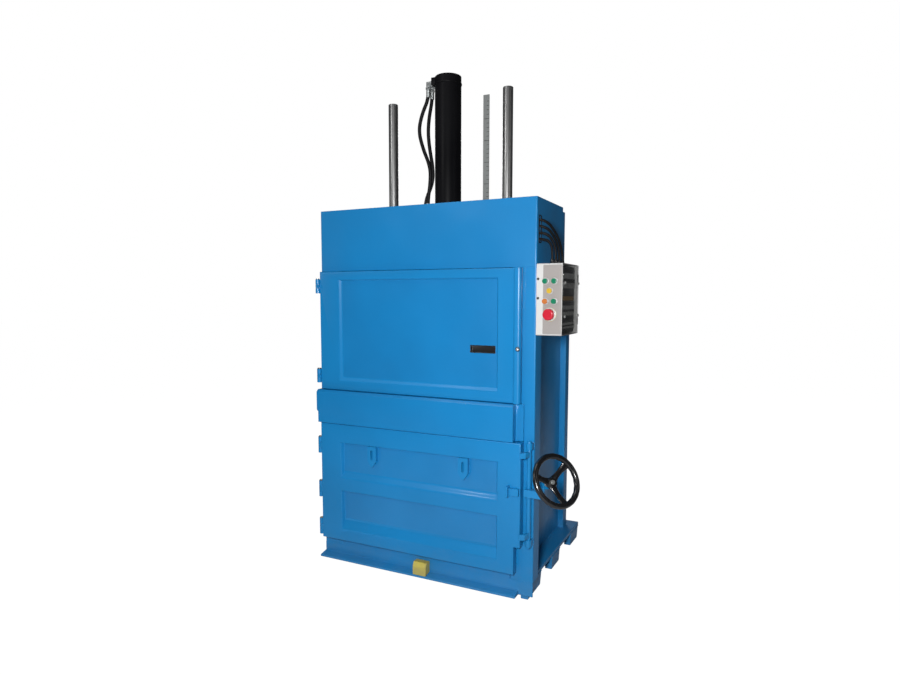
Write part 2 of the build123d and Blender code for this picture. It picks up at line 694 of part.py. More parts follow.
def door_knuckles(levels, height):
    """The door's half of its hinges, welded to the edge of the door in hand."""
    tall = height - 2 * LEAF_HEIGHT - 2 * KNUCKLE_GAP
    for level in levels:
        start = level - tall / 2
        rod((HINGE_X, HINGE_Y, start), (0, 0, 1), KNUCKLE_R, tall)
        block(HINGE_X, DOOR_LEFT, HINGE_Y - KNUCKLE_R, HINGE_Y + KNUCKLE_R, start, start + tall)
        rod((HINGE_X, HINGE_Y, start), (0, 0, 1), HINGE_PIN_R + RUNNING, tall, Mode.SUBTRACT)


def lower_door():
    """The bale door: a welded frame with two sunk panels, strap hooks and the lock's lug."""
    front = DOOR_BACK - LOWER_DOOR_THICK
    window_left = DOOR_LEFT + LOWER_LEFT_STILE
    window_right = LOWER_DOOR_RIGHT - LOWER_RIGHT_STILE
    windows = (
        (LOWER_DOOR_BOTTOM + LOWER_BOTTOM_RAIL, LOWER_RAIL_LOW),
        (LOWER_RAIL_HIGH, LOWER_DOOR_TOP - LOWER_TOP_RAIL),
    )
    with BuildPart() as frame:
        block(DOOR_LEFT, LOWER_DOOR_RIGHT, front, DOOR_BACK, LOWER_DOOR_BOTTOM, LOWER_DOOR_TOP)
        fillet(frame.faces().sort_by(Axis.Y)[0].edges(), EDGE_ROUND)
        for low, high in windows:
            block(window_left, window_right, front, DOOR_BACK, low, high, Mode.SUBTRACT)
        block(
            LOWER_DOOR_RIGHT - LATCH_WIDTH, LOWER_DOOR_RIGHT, front, DOOR_BACK,
            LOWER_DOOR_BOTTOM, LOCK_BOTTOM, Mode.SUBTRACT,
        )
        door_knuckles(LOWER_HINGES, LOWER_HINGE_HEIGHT)
    write("lower_door_frame", frame.part)

    with BuildPart() as panels:
        for low, high in windows:
            block(
                window_left, window_right, front + PANEL_INSET, front + PANEL_INSET + PANEL_SHEET,
                low, high,
            )
    write("lower_door_panels", panels.part)

    panel_front = front + PANEL_INSET
    hook_top = LOWER_DOOR_TOP - LOWER_TOP_RAIL - DOOR_GAP
    wide, high = HOOK_SIZE
    with BuildPart() as hooks:
        for middle in (window_left + HOOK_INSETS[0], window_right - HOOK_INSETS[1]):
            with BuildSketch(Plane.XZ.offset(-(panel_front - HOOK_STAND))):
                with BuildLine():
                    Polyline(
                        (middle - wide / 2, hook_top),
                        (middle + wide / 2, hook_top),
                        (middle + wide / 2, hook_top - high + HOOK_POINT),
                        (middle + wide / 8, hook_top - high),
                        (middle - wide / 8, hook_top - high),
                        (middle - wide / 2, hook_top - high + HOOK_POINT),
                        close=True,
                    )
                make_face()
                with Locations((middle, hook_top - high * 0.42)):
                    SlotOverall(*HOOK_SLOT, rotation=90, mode=Mode.SUBTRACT)
            extrude(amount=-HOOK_SHEET)
            for side in (middle - wide / 2, middle + wide / 2 - HOOK_SHEET):
                block(
                    side, side + HOOK_SHEET, panel_front - HOOK_STAND, panel_front,
                    hook_top - high + HOOK_POINT, hook_top,
                )
    write("strap_hooks", hooks.part)

    lug_right = LOWER_DOOR_RIGHT - EDGE_ROUND
    lug_left = lug_right - LUG_LENGTH
    with BuildPart() as lug:
        block(lug_left, lug_right, front - LEVER_THICK, front, LEVER_BOTTOM, LEVER_TOP)
        block(
            lug_left, lug_left + LUG_TAB, front - 2 * LEVER_THICK, front,
            LEVER_BOTTOM - LUG_TAB / 2, LEVER_TOP + LUG_TAB,
        )
    write("lock_lug", lug.part)


def upper_door():
    """The feed door: a pan with a sunk panel, a round closing edge and a sunk grip."""
    front = DOOR_BACK - UPPER_DOOR_THICK
    window_left = DOOR_LEFT + UPPER_LEFT_STILE
    window_right = UPPER_DOOR_RIGHT - UPPER_RIGHT_STILE
    low = UPPER_DOOR_BOTTOM + UPPER_BOTTOM_RAIL
    high = UPPER_DOOR_TOP - UPPER_TOP_RAIL
    tube_middle = UPPER_DOOR_RIGHT - EDGE_TUBE / 2
    with BuildPart() as frame:
        block(DOOR_LEFT, tube_middle, front, DOOR_BACK, UPPER_DOOR_BOTTOM, UPPER_DOOR_TOP)
        fillet(frame.faces().sort_by(Axis.Y)[0].edges().filter_by(Axis.X), EDGE_ROUND)
        block(window_left, window_right, front, DOOR_BACK, low, high, Mode.SUBTRACT)
        with BuildSketch(Plane.XY.offset(UPPER_DOOR_BOTTOM)):
            with Locations((tube_middle, DOOR_BACK - EDGE_TUBE / 2)):
                RectangleRounded(EDGE_TUBE, EDGE_TUBE, EDGE_TUBE * 0.36)
        extrude(amount=UPPER_DOOR_TOP - UPPER_DOOR_BOTTOM)
        door_knuckles(UPPER_HINGES, UPPER_HINGE_HEIGHT)
    write("upper_door_frame", frame.part)

    grip_x, grip_z = window_right - GRIP_INSET, UPPER_DOOR_BOTTOM + GRIP_RISE
    wide, tall = GRIP_SIZE
    panel_front = front + PANEL_INSET / 2
    with BuildPart() as panel:
        block(window_left, window_right, panel_front, panel_front + PANEL_SHEET, low, high)
        block(
            grip_x - wide / 2, grip_x + wide / 2, panel_front, panel_front + PANEL_SHEET,
            grip_z - tall / 2, grip_z + tall / 2, Mode.SUBTRACT,
        )
    write("upper_door_panel", panel.part)

    depth = DOOR_BACK - panel_front
    with BuildPart() as grip:
        block(
            grip_x - wide / 2, grip_x + wide / 2, panel_front, panel_front + depth,
            grip_z - tall / 2, grip_z + tall / 2,
        )
        block(
            grip_x - wide / 2 + GRIP_WALL, grip_x + wide / 2 - GRIP_WALL,
            panel_front, panel_front + depth - GRIP_WALL,
            grip_z - tall / 2 + GRIP_WALL, grip_z + tall / 2 - GRIP_WALL, Mode.SUBTRACT,
        )
    write("upper_door_grip", grip.part)


def door_lock():
    """The lock: shaft, bearings, claws, lever with its nut, clamp screw, pad and hand wheel."""
    boss = LOCK_SHAFT_R + LOCK_BOSS
    with BuildPart() as bearings:
        for level in LOCK_BEARINGS:
            foot = (LOCK_X, LOCK_Y, level - LOCK_BEARING_HEIGHT / 2)
            rod(foot, (0, 0, 1), boss, LOCK_BEARING_HEIGHT)
            block(
                LOCK_X - boss, LOCK_X + boss, LOCK_Y, FRONT,
                foot[2], foot[2] + LOCK_BEARING_HEIGHT,
            )
            rod(foot, (0, 0, 1), LOCK_SHAFT_R + RUNNING, LOCK_BEARING_HEIGHT, Mode.SUBTRACT)
    write("lock_bearings", bearings.part)

    # The claw is drawn as it holds the door, then stands turned back by the lock's swing.
    door_edge = LOWER_DOOR_RIGHT - LOCK_X
    door_face = DOOR_BACK - LOWER_DOOR_THICK - LOCK_Y - CLAW_GAP
    turned = (cos(radians(LOCK_SWING)), sin(radians(LOCK_SWING)), 0)
    with BuildPart() as shaft:
        rod((LOCK_X, LOCK_Y, LOCK_BOTTOM), (0, 0, 1), LOCK_SHAFT_R, LOCK_TOP - LOCK_BOTTOM)
        chamfer(shaft.edges().group_by(Axis.Z)[-1], CLAW_GAP)
        for level in LOCK_CLAWS:
            origin = (LOCK_X, LOCK_Y, level - CLAW_HEIGHT / 2)
            with BuildSketch(Plane(origin=origin, x_dir=turned, z_dir=(0, 0, 1))):
                with BuildLine():
                    Polyline(
                        (0, 0),
                        (-LOCK_SHAFT_R, -LOCK_SHAFT_R),
                        (door_edge + CLAW_GAP, door_face),
                        (door_edge - CLAW_HOLD, door_face),
                        (door_edge - CLAW_HOLD, door_face - CLAW_THICK),
                        (-2 * LOCK_SHAFT_R, door_face - CLAW_THICK),
                        (LOCK_SHAFT_R / 2, -LOCK_SHAFT_R / 2),
                        close=True,
                    )
                make_face()
            extrude(amount=CLAW_HEIGHT)
    write("lock_shaft", shaft.part)

    lever_front = LOCK_Y - LOCK_SHAFT_R - LEVER_THICK
    nut_start = NUT_CENTRE - WHEEL_AXIS * (NUT_LENGTH / 2)
    with BuildPart() as lever:
        block(
            LOCK_X - boss, LEVER_END, lever_front, LOCK_Y - LOCK_SHAFT_R,
            LEVER_BOTTOM, LEVER_TOP,
        )
        block(LOCK_X - boss, LOCK_X + boss, lever_front, LOCK_Y + boss, LEVER_BOTTOM, LEVER_TOP)
        fillet(lever.edges().filter_by(Axis.Z).group_by(Axis.Y)[-1], LOCK_BOSS)
        block(
            LEVER_END - LEVER_HEAD, LEVER_END, lever_front, NUT_CENTRE.Y + NUT_R / 2,
            LEVER_BOTTOM, NUT_CENTRE.Z,
        )
        rod(nut_start, WHEEL_AXIS, NUT_R, NUT_LENGTH)
        rod(
            (LOCK_X, LOCK_Y, LEVER_BOTTOM), (0, 0, 1), LOCK_SHAFT_R, LEVER_TOP - LEVER_BOTTOM,
            Mode.SUBTRACT,
        )
        rod(
            nut_start - WHEEL_AXIS * NUT_R, WHEEL_AXIS, SCREW_R + RUNNING, NUT_LENGTH + 2 * NUT_R,
            Mode.SUBTRACT,
        )
        rod(
            nut_start + WHEEL_AXIS * NUT_LENGTH, WHEEL_AXIS, HUB_R + HUB_CLEAR, NUT_FROM_HUB,
            Mode.SUBTRACT,
        )
    write("lock_lever", lever.part)

    with BuildPart() as pad:
        rod(SCREW_TIP, -WHEEL_AXIS, PAD_R, PAD_LENGTH)
        chamfer(pad.edges().filter_by(GeomType.CIRCLE), 2)
    write("screw_pad", pad.part)

    with BuildPart() as screw:
        rod(SCREW_TIP, WHEEL_AXIS, SCREW_R, SCREW_LENGTH - HUB_LENGTH / 2)
    write("clamp_screw", screw.part)

    wheel_plane = Plane(origin=WHEEL_CENTRE, x_dir=Vector(0, 0, 1).cross(WHEEL_AXIS), z_dir=WHEEL_AXIS)
    with BuildPart() as wheel:
        with BuildSketch(Plane(origin=WHEEL_CENTRE, x_dir=wheel_plane.x_dir, z_dir=wheel_plane.y_dir)):
            with Locations((WHEEL_R - RIM_R, 0)):
                Circle(RIM_R)
        revolve(axis=Axis(WHEEL_CENTRE, WHEEL_AXIS))
        rod(HUB_CENTRE - WHEEL_AXIS * (HUB_LENGTH / 2), WHEEL_AXIS, HUB_R, HUB_LENGTH)
        spoke_run = WHEEL_R - RIM_R
        spoke_tilt = degrees(atan2(WHEEL_DISH, spoke_run))
        spoke_length = (spoke_run**2 + WHEEL_DISH**2) ** 0.5
        for number in range(SPOKE_COUNT):
            turn = radians(SPOKE_START + number * 360 / SPOKE_COUNT)
            outward = wheel_plane.x_dir * cos(turn) + wheel_plane.y_dir * sin(turn)
            along = outward * cos(radians(spoke_tilt)) + WHEEL_AXIS * sin(radians(spoke_tilt))
            root = HUB_CENTRE + along * (HUB_R / 2)
            with BuildSketch(Plane(origin=root, x_dir=WHEEL_AXIS.cross(outward), z_dir=along)):
                RectangleRounded(SPOKE_WIDTH, SPOKE_THICK, SPOKE_THICK * 0.4)
            extrude(amount=spoke_length - HUB_R / 2)
    write("hand_wheel", wheel.part)


def arc_radii(points):
    """The largest arc at each corner of a cord: 0.45 of its shorter run on each side."""
    radii = []
    for before, corner, after in zip(points, points[1:], points[2:]):
        run_in = Vector(*corner) - Vector(*before)
        run_out = Vector(*after) - Vector(*corner)
        turn = radians(run_in.get_angle(run_out))
        radii.append(0.45 * min(run_in.length, run_out.length) / tan(turn / 2))
    return radii


def cord(name, points, radius):
    """A hose or cable held at both ends: straight runs joined by large tangent arcs."""
    radii = arc_radii(points)
    with BuildPart() as tube:
        with BuildLine() as path:
            FilletPolyline(*points, radius=radii)
        with BuildSketch(Plane(origin=path.line @ 0, z_dir=path.line % 0)):
            Circle(radius)
        sweep()
    length = sum(edge.length for edge in path.edges())
    share = tube.part.volume / (pi * radius**2 * length)
    rounded = [round(value) for value in radii]
    print(f"{name}: length {length:.0f}, volume over section x length {share:.4f}, radii {rounded}")
    write(name, tube.part)


def hydraulics():
    """Fittings and hoses at the cylinder, and the power unit behind the body."""
    cover_top = TOP_BEAM_TOP + COVER_SHEET
    elbow_top = PORT_Z + ELBOW_R
    with BuildPart() as fittings:
        for port_y, (bulkhead_x, behind) in zip(PORT_YS, BULKHEADS):
            rod((PORT_FACE, port_y, PORT_Z), (-1, 0, 0), PORT_R, PORT_REACH)
            rod((ELBOW_X, port_y, elbow_top), (0, 0, -1), ELBOW_R, ELBOW_LENGTH)
            rod((bulkhead_x, RAM_Y + behind, cover_top), (0, 0, 1), BULKHEAD_R, BULKHEAD_HEIGHT)
    write("hose_fittings", fittings.part)

    hose_top = elbow_top - ELBOW_LENGTH
    hose_bottom = cover_top + BULKHEAD_HEIGHT
    for name, port_y, (bulkhead_x, behind), bow, tuck in zip(
        ("hose_front", "hose_rear"), PORT_YS, BULKHEADS, HOSE_BOWS, HOSE_TUCKS
    ):
        foot_y = RAM_Y + behind
        lean = foot_y - port_y
        cord(
            name,
            (
                (ELBOW_X, port_y, hose_top),
                (ELBOW_X, port_y, hose_top - 52),
                (ELBOW_X + bow * 0.62, port_y - 10, hose_top - 136),
                (ELBOW_X + bow, port_y - 14, hose_top - 236),
                (ELBOW_X + bow * 0.55, port_y - 10, hose_top - 344),
                (ELBOW_X + tuck, port_y - 4, hose_top - 456),
                (ELBOW_X + tuck * 0.6, port_y + lean * 0.3, hose_top - 548),
                (bulkhead_x, foot_y, hose_bottom + 62),
                (bulkhead_x, foot_y, hose_bottom),
            ),
            HOSE_R,
        )

    x0, x1 = -TANK_WIDTH / 2, TANK_WIDTH / 2
    y0, y1 = TANK_FRONT, TANK_FRONT + TANK_DEPTH
    lid_top = TANK_TOP + TANK_LID
    with BuildPart() as tank:
        block(x0, x1, y0, y1, BASE_TOP, TANK_TOP)
        fillet(tank.edges().filter_by(Axis.Z), TANK_ROUND)
        block(
            x0 - TANK_RIM, x1 + TANK_RIM, y0 - TANK_RIM, y1 + TANK_RIM, TANK_TOP, lid_top,
        )
    write("oil_tank", tank.part)

    can_bottom = lid_top + MOTOR_FLANGE
    can_top = can_bottom + MOTOR_HEIGHT
    with BuildPart() as motor:
        rod((MOTOR_X, TANK_MIDDLE, lid_top), (0, 0, 1), MOTOR_FLANGE_R, MOTOR_FLANGE)
        rod((MOTOR_X, TANK_MIDDLE, can_bottom), (0, 0, 1), MOTOR_R - FIN_HEIGHT, MOTOR_HEIGHT)
        with Locations((MOTOR_X, TANK_MIDDLE, (can_bottom + can_top) / 2)):
            with PolarLocations(MOTOR_R - FIN_HEIGHT, FIN_COUNT):
                Box(2 * FIN_HEIGHT, FIN_THICK, MOTOR_HEIGHT - 2 * FIN_MARGIN)
        box_x, box_y, box_z = TERMINAL_BOX
        with Locations((MOTOR_X, TANK_MIDDLE - MOTOR_R, (can_bottom + can_top) / 2)):
            Box(box_x, box_y, box_z)
    write("pump_motor", motor.part)

    with BuildPart() as cowl:
        rod((MOTOR_X, TANK_MIDDLE, can_top), (0, 0, 1), MOTOR_R, COWL_HEIGHT)
        fillet(cowl.edges().group_by(Axis.Z)[-1], COWL_ROUND)
    write("motor_cowl", cowl.part)

    wide, deep, tall = VALVE_SIZE
    with BuildPart() as valve:
        with Locations((VALVE_X, TANK_MIDDLE, lid_top + tall / 2)):
            Box(wide, deep, tall)
        for side in (-1, 1):
            start = (VALVE_X + side * wide / 2, TANK_MIDDLE, lid_top + tall * 0.7)
            rod(start, (side, 0, 0), SOLENOID_R, SOLENOID_LENGTH)
    write("valve_block", valve.part)

    filler_x, filler_y = x0 + FILLER_INSET, y1 - FILLER_INSET
    with BuildPart() as filler:
        rod((filler_x, filler_y, lid_top), (0, 0, 1), FILLER_R * 0.8, FILLER_NECK)
        rod((filler_x, filler_y, lid_top + FILLER_NECK), (0, 0, 1), FILLER_R, FILLER_CAP)
    write("filler_cap", filler.part)

    pipe_y = TANK_FRONT - PIPE_STAND
    bend_z = lid_top + tall + PIPE_RISE
    with BuildPart() as pipes:
        for pipe_x, behind in BULKHEADS:
            with BuildLine() as path:
                FilletPolyline(
                    (pipe_x, RAM_Y + behind, TOP_BEAM_TOP + COVER_SHEET),
                    (pipe_x, RAM_Y + behind, PIPE_LEVEL),
                    (pipe_x, pipe_y, PIPE_LEVEL),
                    (pipe_x, pipe_y, bend_z),
                    (pipe_x, TANK_MIDDLE, bend_z),
                    (pipe_x, TANK_MIDDLE, lid_top + tall),
                    radius=PIPE_BEND,
                )
            with BuildSketch(Plane(origin=path.line @ 0, z_dir=path.line % 0)):
                Circle(PIPE_R)
            sweep(path=path.line)
    write("pressure_pipes", pipes.part)


def control_cabinet():
    """The cabinet: shell, clear lid, switch gear, buttons, glands and cables."""
    with BuildPart() as shell_part:
        block(BOX_LEFT, LID_LEFT, FRONT, BOX_BACK, BOX_BOTTOM, BOX_TOP)
        fillet(shell_part.edges().filter_by(Axis.X), BOX_ROUND)
        block(
            BOX_LEFT + BOX_WALL, LID_LEFT, FRONT + BOX_WALL, BOX_BACK - BOX_WALL,
            BOX_BOTTOM + BOX_WALL, BOX_TOP - BOX_WALL, Mode.SUBTRACT,
        )
        for column, row in button_places().values():
            rod((column, FRONT, row), (0, 1, 0), BUTTON_HOLE_R, BOX_WALL, Mode.SUBTRACT)
        for start in (BOX_BOTTOM + LID_HINGE_INSET, BOX_TOP - LID_HINGE_INSET - LID_HINGE_HEIGHT):
            block(
                LID_LEFT - LID_THICK, LID_LEFT, BOX_BACK, BOX_BACK + LID_HINGE_R,
                start, start + LID_HINGE_HEIGHT,
            )
            rod((LID_LEFT, LID_HINGE_Y, start), (0, 0, 1), LID_HINGE_R, LID_HINGE_HEIGHT)
    write("cabinet_shell", shell_part.part)

    with BuildPart() as lid:
        block(LID_LEFT, BOX_RIGHT, FRONT, BOX_BACK, BOX_BOTTOM, BOX_TOP)
        fillet(lid.edges().filter_by(Axis.X), BOX_ROUND)
        fillet(lid.faces().sort_by(Axis.X)[-1].edges(), LID_WALL)
        block(
            LID_LEFT, BOX_RIGHT - LID_WALL, FRONT + LID_WALL, BOX_BACK - LID_WALL,
            BOX_BOTTOM + LID_WALL, BOX_TOP - LID_WALL, Mode.SUBTRACT,
        )
    write("cabinet_lid", lid.part)

    plate_left = BOX_LEFT + BOX_WALL
    plate_face = plate_left + GEAR_PLATE
    gear_front = FRONT + GEAR_FRONT
    gear_back = BOX_BACK - GEAR_MARGIN
    with BuildPart() as gear:
        block(
            plate_left, plate_face, gear_front - GEAR_GAP, gear_back + GEAR_GAP,
            BOX_BOTTOM + GEAR_MARGIN, BOX_TOP - GEAR_MARGIN,
        )
        for level, tall, count in GEAR_ROWS:
            step = (gear_back - gear_front) / count
            for number in range(count):
                start = gear_front + number * step
                block(
                    plate_face, plate_face + GEAR_DEPTH, start, start + step - GEAR_GAP,
                    BOX_BOTTOM + level - tall / 2, BOX_BOTTOM + level + tall / 2,
                )
    write("switch_gear", gear.part)

    with BuildPart() as collars:
        for name, (column, row) in button_places().items():
            radius = STOP_R + STOP_RING if name == "stop" else COLLAR_R
            rod((column, FRONT, row), (0, -1, 0), radius, COLLAR_THICK)
            rod((column, FRONT, row), (0, -1, 0), BUTTON_HOLE_R, COLLAR_THICK, Mode.SUBTRACT)
    write("button_collars", collars.part)

    cap_back = FRONT - COLLAR_THICK - BUTTON_TRAVEL - BUTTON_REST
    for name, (column, row) in button_places().items():
        radius, stand, rounding = BUTTON_R, BUTTON_STAND, BUTTON_ROUND
        if name == "stop":
            radius, stand, rounding = STOP_R, STOP_STAND, STOP_ROUND
        with BuildPart() as button:
            rod((column, cap_back, row), (0, -1, 0), radius, stand)
            fillet(button.faces().sort_by(Axis.Y)[0].edges(), rounding)
            rod(
                (column, cap_back, row), (0, 1, 0), BUTTON_HOLE_R - BUTTON_CLEAR,
                FRONT + BOX_WALL + BUTTON_TAIL - cap_back,
            )
        write("button_" + name, button.part)

    gland_x = (BOX_LEFT + BOX_RIGHT) / 2
    with BuildPart() as glands:
        with Locations([(gland_x, FRONT + offset, BOX_TOP) for offset in GLAND_YS]):
            Cylinder(CABLE_GLAND_R, CABLE_GLAND_HEIGHT, align=(Align.CENTER, Align.CENTER, Align.MIN))
        chamfer(glands.edges().group_by(Axis.Z)[-1], CABLE_GLAND_R - CABLE_R - 1)
    write("cable_glands", glands.part)

    port_y = FRONT + CABLE_PORT_SETBACK
    for number, offset in enumerate(GLAND_YS):
        start_z = CABLE_PORT_LEVEL + (number - (len(GLAND_YS) - 1) / 2) * CABLE_PITCH
        gland_y = FRONT + offset
        gland_z = BOX_TOP + CABLE_GLAND_HEIGHT
        cord(
            f"cable_{number + 1}",
            (
                (HEADER_IN - 12, port_y, start_z),
                (HALF + 34, port_y, start_z - 3),
                (gland_x - 9, port_y * 0.35 + gland_y * 0.65, start_z * 0.5 + gland_z * 0.5 + 23),
                (gland_x, gland_y, gland_z + 38),
                (gland_x, gland_y, gland_z),
            ),
            CABLE_R,
        )


def button_places():
    """Where each button stands on the cabinet's front: column across, row up."""
    centre = (BOX_LEFT + BOX_RIGHT) / 2
    left, right = centre - BUTTON_PITCH / 2, centre + BUTTON_PITCH / 2
    top, middle, low = (BOX_TOP - drop for drop in BUTTON_DROPS)
    return {
        "green_left": (left, top),
        "green_right": (right, top),
        "yellow": (centre, middle),
        "orange": (left, low),
        "green_low": (right, low),
        "stop": (centre, BOX_TOP - STOP_DROP),
    }


feet_and_base()
shell()
top_frame()
ram()
lower_door()
upper_door()
hinge_halves()
door_lock()
hydraulics()
control_cabinet()
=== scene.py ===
"""Looks of an upright recycling baler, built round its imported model.

The press is a welded box of blue enamelled plate with a feed door over a bale door, a black
ram between bright guide rods on top, a hand wheel on the door lock and a control cabinet.
All sizes are metres in the model's frame: +X right, +Y back, +Z up, origin on the floor.
"""

from __future__ import annotations

import json
import logging
import math
from dataclasses import dataclass, field
from enum import Enum

import bmesh
import bpy
import numpy as np
from mathutils import Matrix, Vector

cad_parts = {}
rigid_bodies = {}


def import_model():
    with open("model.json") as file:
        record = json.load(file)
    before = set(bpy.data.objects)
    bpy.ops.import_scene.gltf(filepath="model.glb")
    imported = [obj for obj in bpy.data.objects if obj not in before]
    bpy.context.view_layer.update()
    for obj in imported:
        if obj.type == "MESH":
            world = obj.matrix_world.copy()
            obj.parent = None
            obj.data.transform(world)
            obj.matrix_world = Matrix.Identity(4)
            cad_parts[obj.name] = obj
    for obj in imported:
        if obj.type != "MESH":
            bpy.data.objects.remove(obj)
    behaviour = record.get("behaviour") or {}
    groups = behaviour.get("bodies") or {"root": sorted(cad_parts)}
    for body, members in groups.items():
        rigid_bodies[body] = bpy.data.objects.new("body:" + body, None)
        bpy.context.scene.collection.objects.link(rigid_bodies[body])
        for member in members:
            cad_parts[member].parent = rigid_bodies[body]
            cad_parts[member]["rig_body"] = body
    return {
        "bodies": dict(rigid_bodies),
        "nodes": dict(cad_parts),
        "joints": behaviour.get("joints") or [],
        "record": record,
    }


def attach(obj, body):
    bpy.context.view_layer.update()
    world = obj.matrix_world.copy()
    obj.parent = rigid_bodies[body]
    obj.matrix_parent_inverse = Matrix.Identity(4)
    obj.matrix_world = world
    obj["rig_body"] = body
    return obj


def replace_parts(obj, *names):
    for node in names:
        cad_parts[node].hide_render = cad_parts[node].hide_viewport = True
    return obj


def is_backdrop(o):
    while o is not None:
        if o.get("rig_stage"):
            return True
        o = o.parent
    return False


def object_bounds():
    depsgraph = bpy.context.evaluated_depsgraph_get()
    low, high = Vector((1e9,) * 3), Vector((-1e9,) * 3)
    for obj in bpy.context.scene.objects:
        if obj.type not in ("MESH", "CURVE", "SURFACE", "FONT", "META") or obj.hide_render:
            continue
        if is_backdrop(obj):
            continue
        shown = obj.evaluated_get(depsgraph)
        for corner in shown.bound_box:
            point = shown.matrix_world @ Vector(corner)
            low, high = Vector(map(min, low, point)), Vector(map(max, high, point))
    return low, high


LOG = logging.getLogger("baler")
Array = np.ndarray
Colour = tuple[float, float, float, float]
Point = tuple[float, float, float]
Span = tuple[float, float]
Tree, Socket, Node = bpy.types.NodeTree, bpy.types.NodeSocket, bpy.types.Node

RIGHT, BACK, UP = (1.0, 0.0, 0.0), (0.0, 1.0, 0.0), (0.0, 0.0, 1.0)
LEFT, OUT, DOWN = (-1.0, 0.0, 0.0), (0.0, -1.0, 0.0), (0.0, 0.0, -1.0)
SIDES = (-1, 1)
MERGE = 1e-6
FLAT = math.radians(0.6)
SHARP = math.radians(40)


class Body(str, Enum):
    """The moving bodies that a piece can ride on."""

    FRAME = "frame"
    PLATEN = "platen"
    LOWER_DOOR = "lower_door"
    UPPER_DOOR = "upper_door"
    LOCK = "lock"
    WHEEL = "wheel"
    PAD = "pad"
    LID = "lid"


class Head(Enum):
    """Kinds of bolt head, by their number of sides."""

    HEX = 6
    ROUND = 24


# Shader building


def add_node(tree: Tree, kind: str, inputs: dict | None = None, **props: object) -> Node:
    """Add a shader node and fill its sockets.

    Args:
        tree: The node tree that gets the node.
        kind: The node's type name.
        inputs: Socket name or number to a constant, or to an output socket to link.
        **props: Settings of the node itself.

    Returns:
        The new node.
    """
    made = tree.nodes.new(kind)
    for key, value in props.items():
        setattr(made, key, value)
    for key, value in (inputs or {}).items():
        if isinstance(value, Socket):
            tree.links.new(value, made.inputs[key])
        else:
            made.inputs[key].default_value = value
    return made


def math_node(tree: Tree, operation: str, *values: object) -> Socket:
    """Add one arithmetic step.

    Args:
        tree: The node tree.
        operation: The step, such as MULTIPLY.
        *values: Numbers or output sockets, in order.

    Returns:
        The result's socket.
    """
    inputs = dict(enumerate(values))
    return add_node(tree, "ShaderNodeMath", inputs, operation=operation).outputs[0]


def add_share(tree: Tree, base: object, mask: Socket, share: float) -> Socket:
    """base + mask x share.

    Args:
        tree: The node tree.
        base: A number or a socket.
        mask: The socket that is scaled.
        share: By how much.

    Returns:
        The sum's socket.
    """
    return math_node(tree, "ADD", base, math_node(tree, "MULTIPLY", mask, share))


def band(tree: Tree, value: Socket, low: float, high: float) -> Socket:
    """A smooth step from 0 at low to 1 at high.

    Args:
        tree: The node tree.
        value: The socket to step over.
        low: Where the step starts.
        high: Where it ends.

    Returns:
        The stepped value's socket.
    """
    inputs = {"Value": value, "From Min": low, "From Max": high}
    return add_node(tree, "ShaderNodeMapRange", inputs, interpolation_type="SMOOTHSTEP").outputs[0]


def blend_colour(tree: Tree, factor: object, first: object, second: object) -> Socket:
    """Mix two colours.

    Args:
        tree: The node tree.
        factor: Share of the second colour, a number or a socket.
        first: Colour or socket at factor 0.
        second: Colour or socket at factor 1.

    Returns:
        The mixed colour's socket.
    """
    made = add_node(tree, "ShaderNodeMix", None, data_type="RGBA")
    for number, value in ((0, factor), (6, first), (7, second)):
        if isinstance(value, Socket):
            tree.links.new(value, made.inputs[number])
        else:
            made.inputs[number].default_value = value
    return made.outputs[2]


def noise(tree: Tree, place: Socket, scale: object, detail: float, rough: float = 0.5) -> Socket:
    """Add a noise pattern.

    Args:
        tree: The node tree.
        place: Where the pattern is read.
        scale: Its fineness, a number or a socket.
        detail: How many finer layers it has.
        rough: How strong the finer layers are.

    Returns:
        The noise value's socket.
    """
    inputs = {"Vector": place, "Scale": scale, "Detail": detail, "Roughness": rough}
    return add_node(tree, "ShaderNodeTexNoise", inputs).outputs[0]


def new_group(
    name: str, inputs: dict[str, float], outputs: tuple[str, ...]
) -> tuple[Tree, Node, Node, Socket]:
    """Start a shader node group of plain values.

    Args:
        name: The group's name.
        inputs: Input names with their defaults.
        outputs: Output names.

    Returns:
        The group, its input node, its output node and the Object coordinates.
    """
    tree = bpy.data.node_groups.new(name, "ShaderNodeTree")
    for label, value in inputs.items():
        socket = tree.interface.new_socket(name=label, in_out="INPUT", socket_type="NodeSocketFloat")
        socket.default_value = value
    for label in outputs:
        tree.interface.new_socket(name=label, in_out="OUTPUT", socket_type="NodeSocketFloat")
    start, end = tree.nodes.new("NodeGroupInput"), tree.nodes.new("NodeGroupOutput")
    return tree, start, end, add_node(tree, "ShaderNodeTexCoord").outputs["Object"]


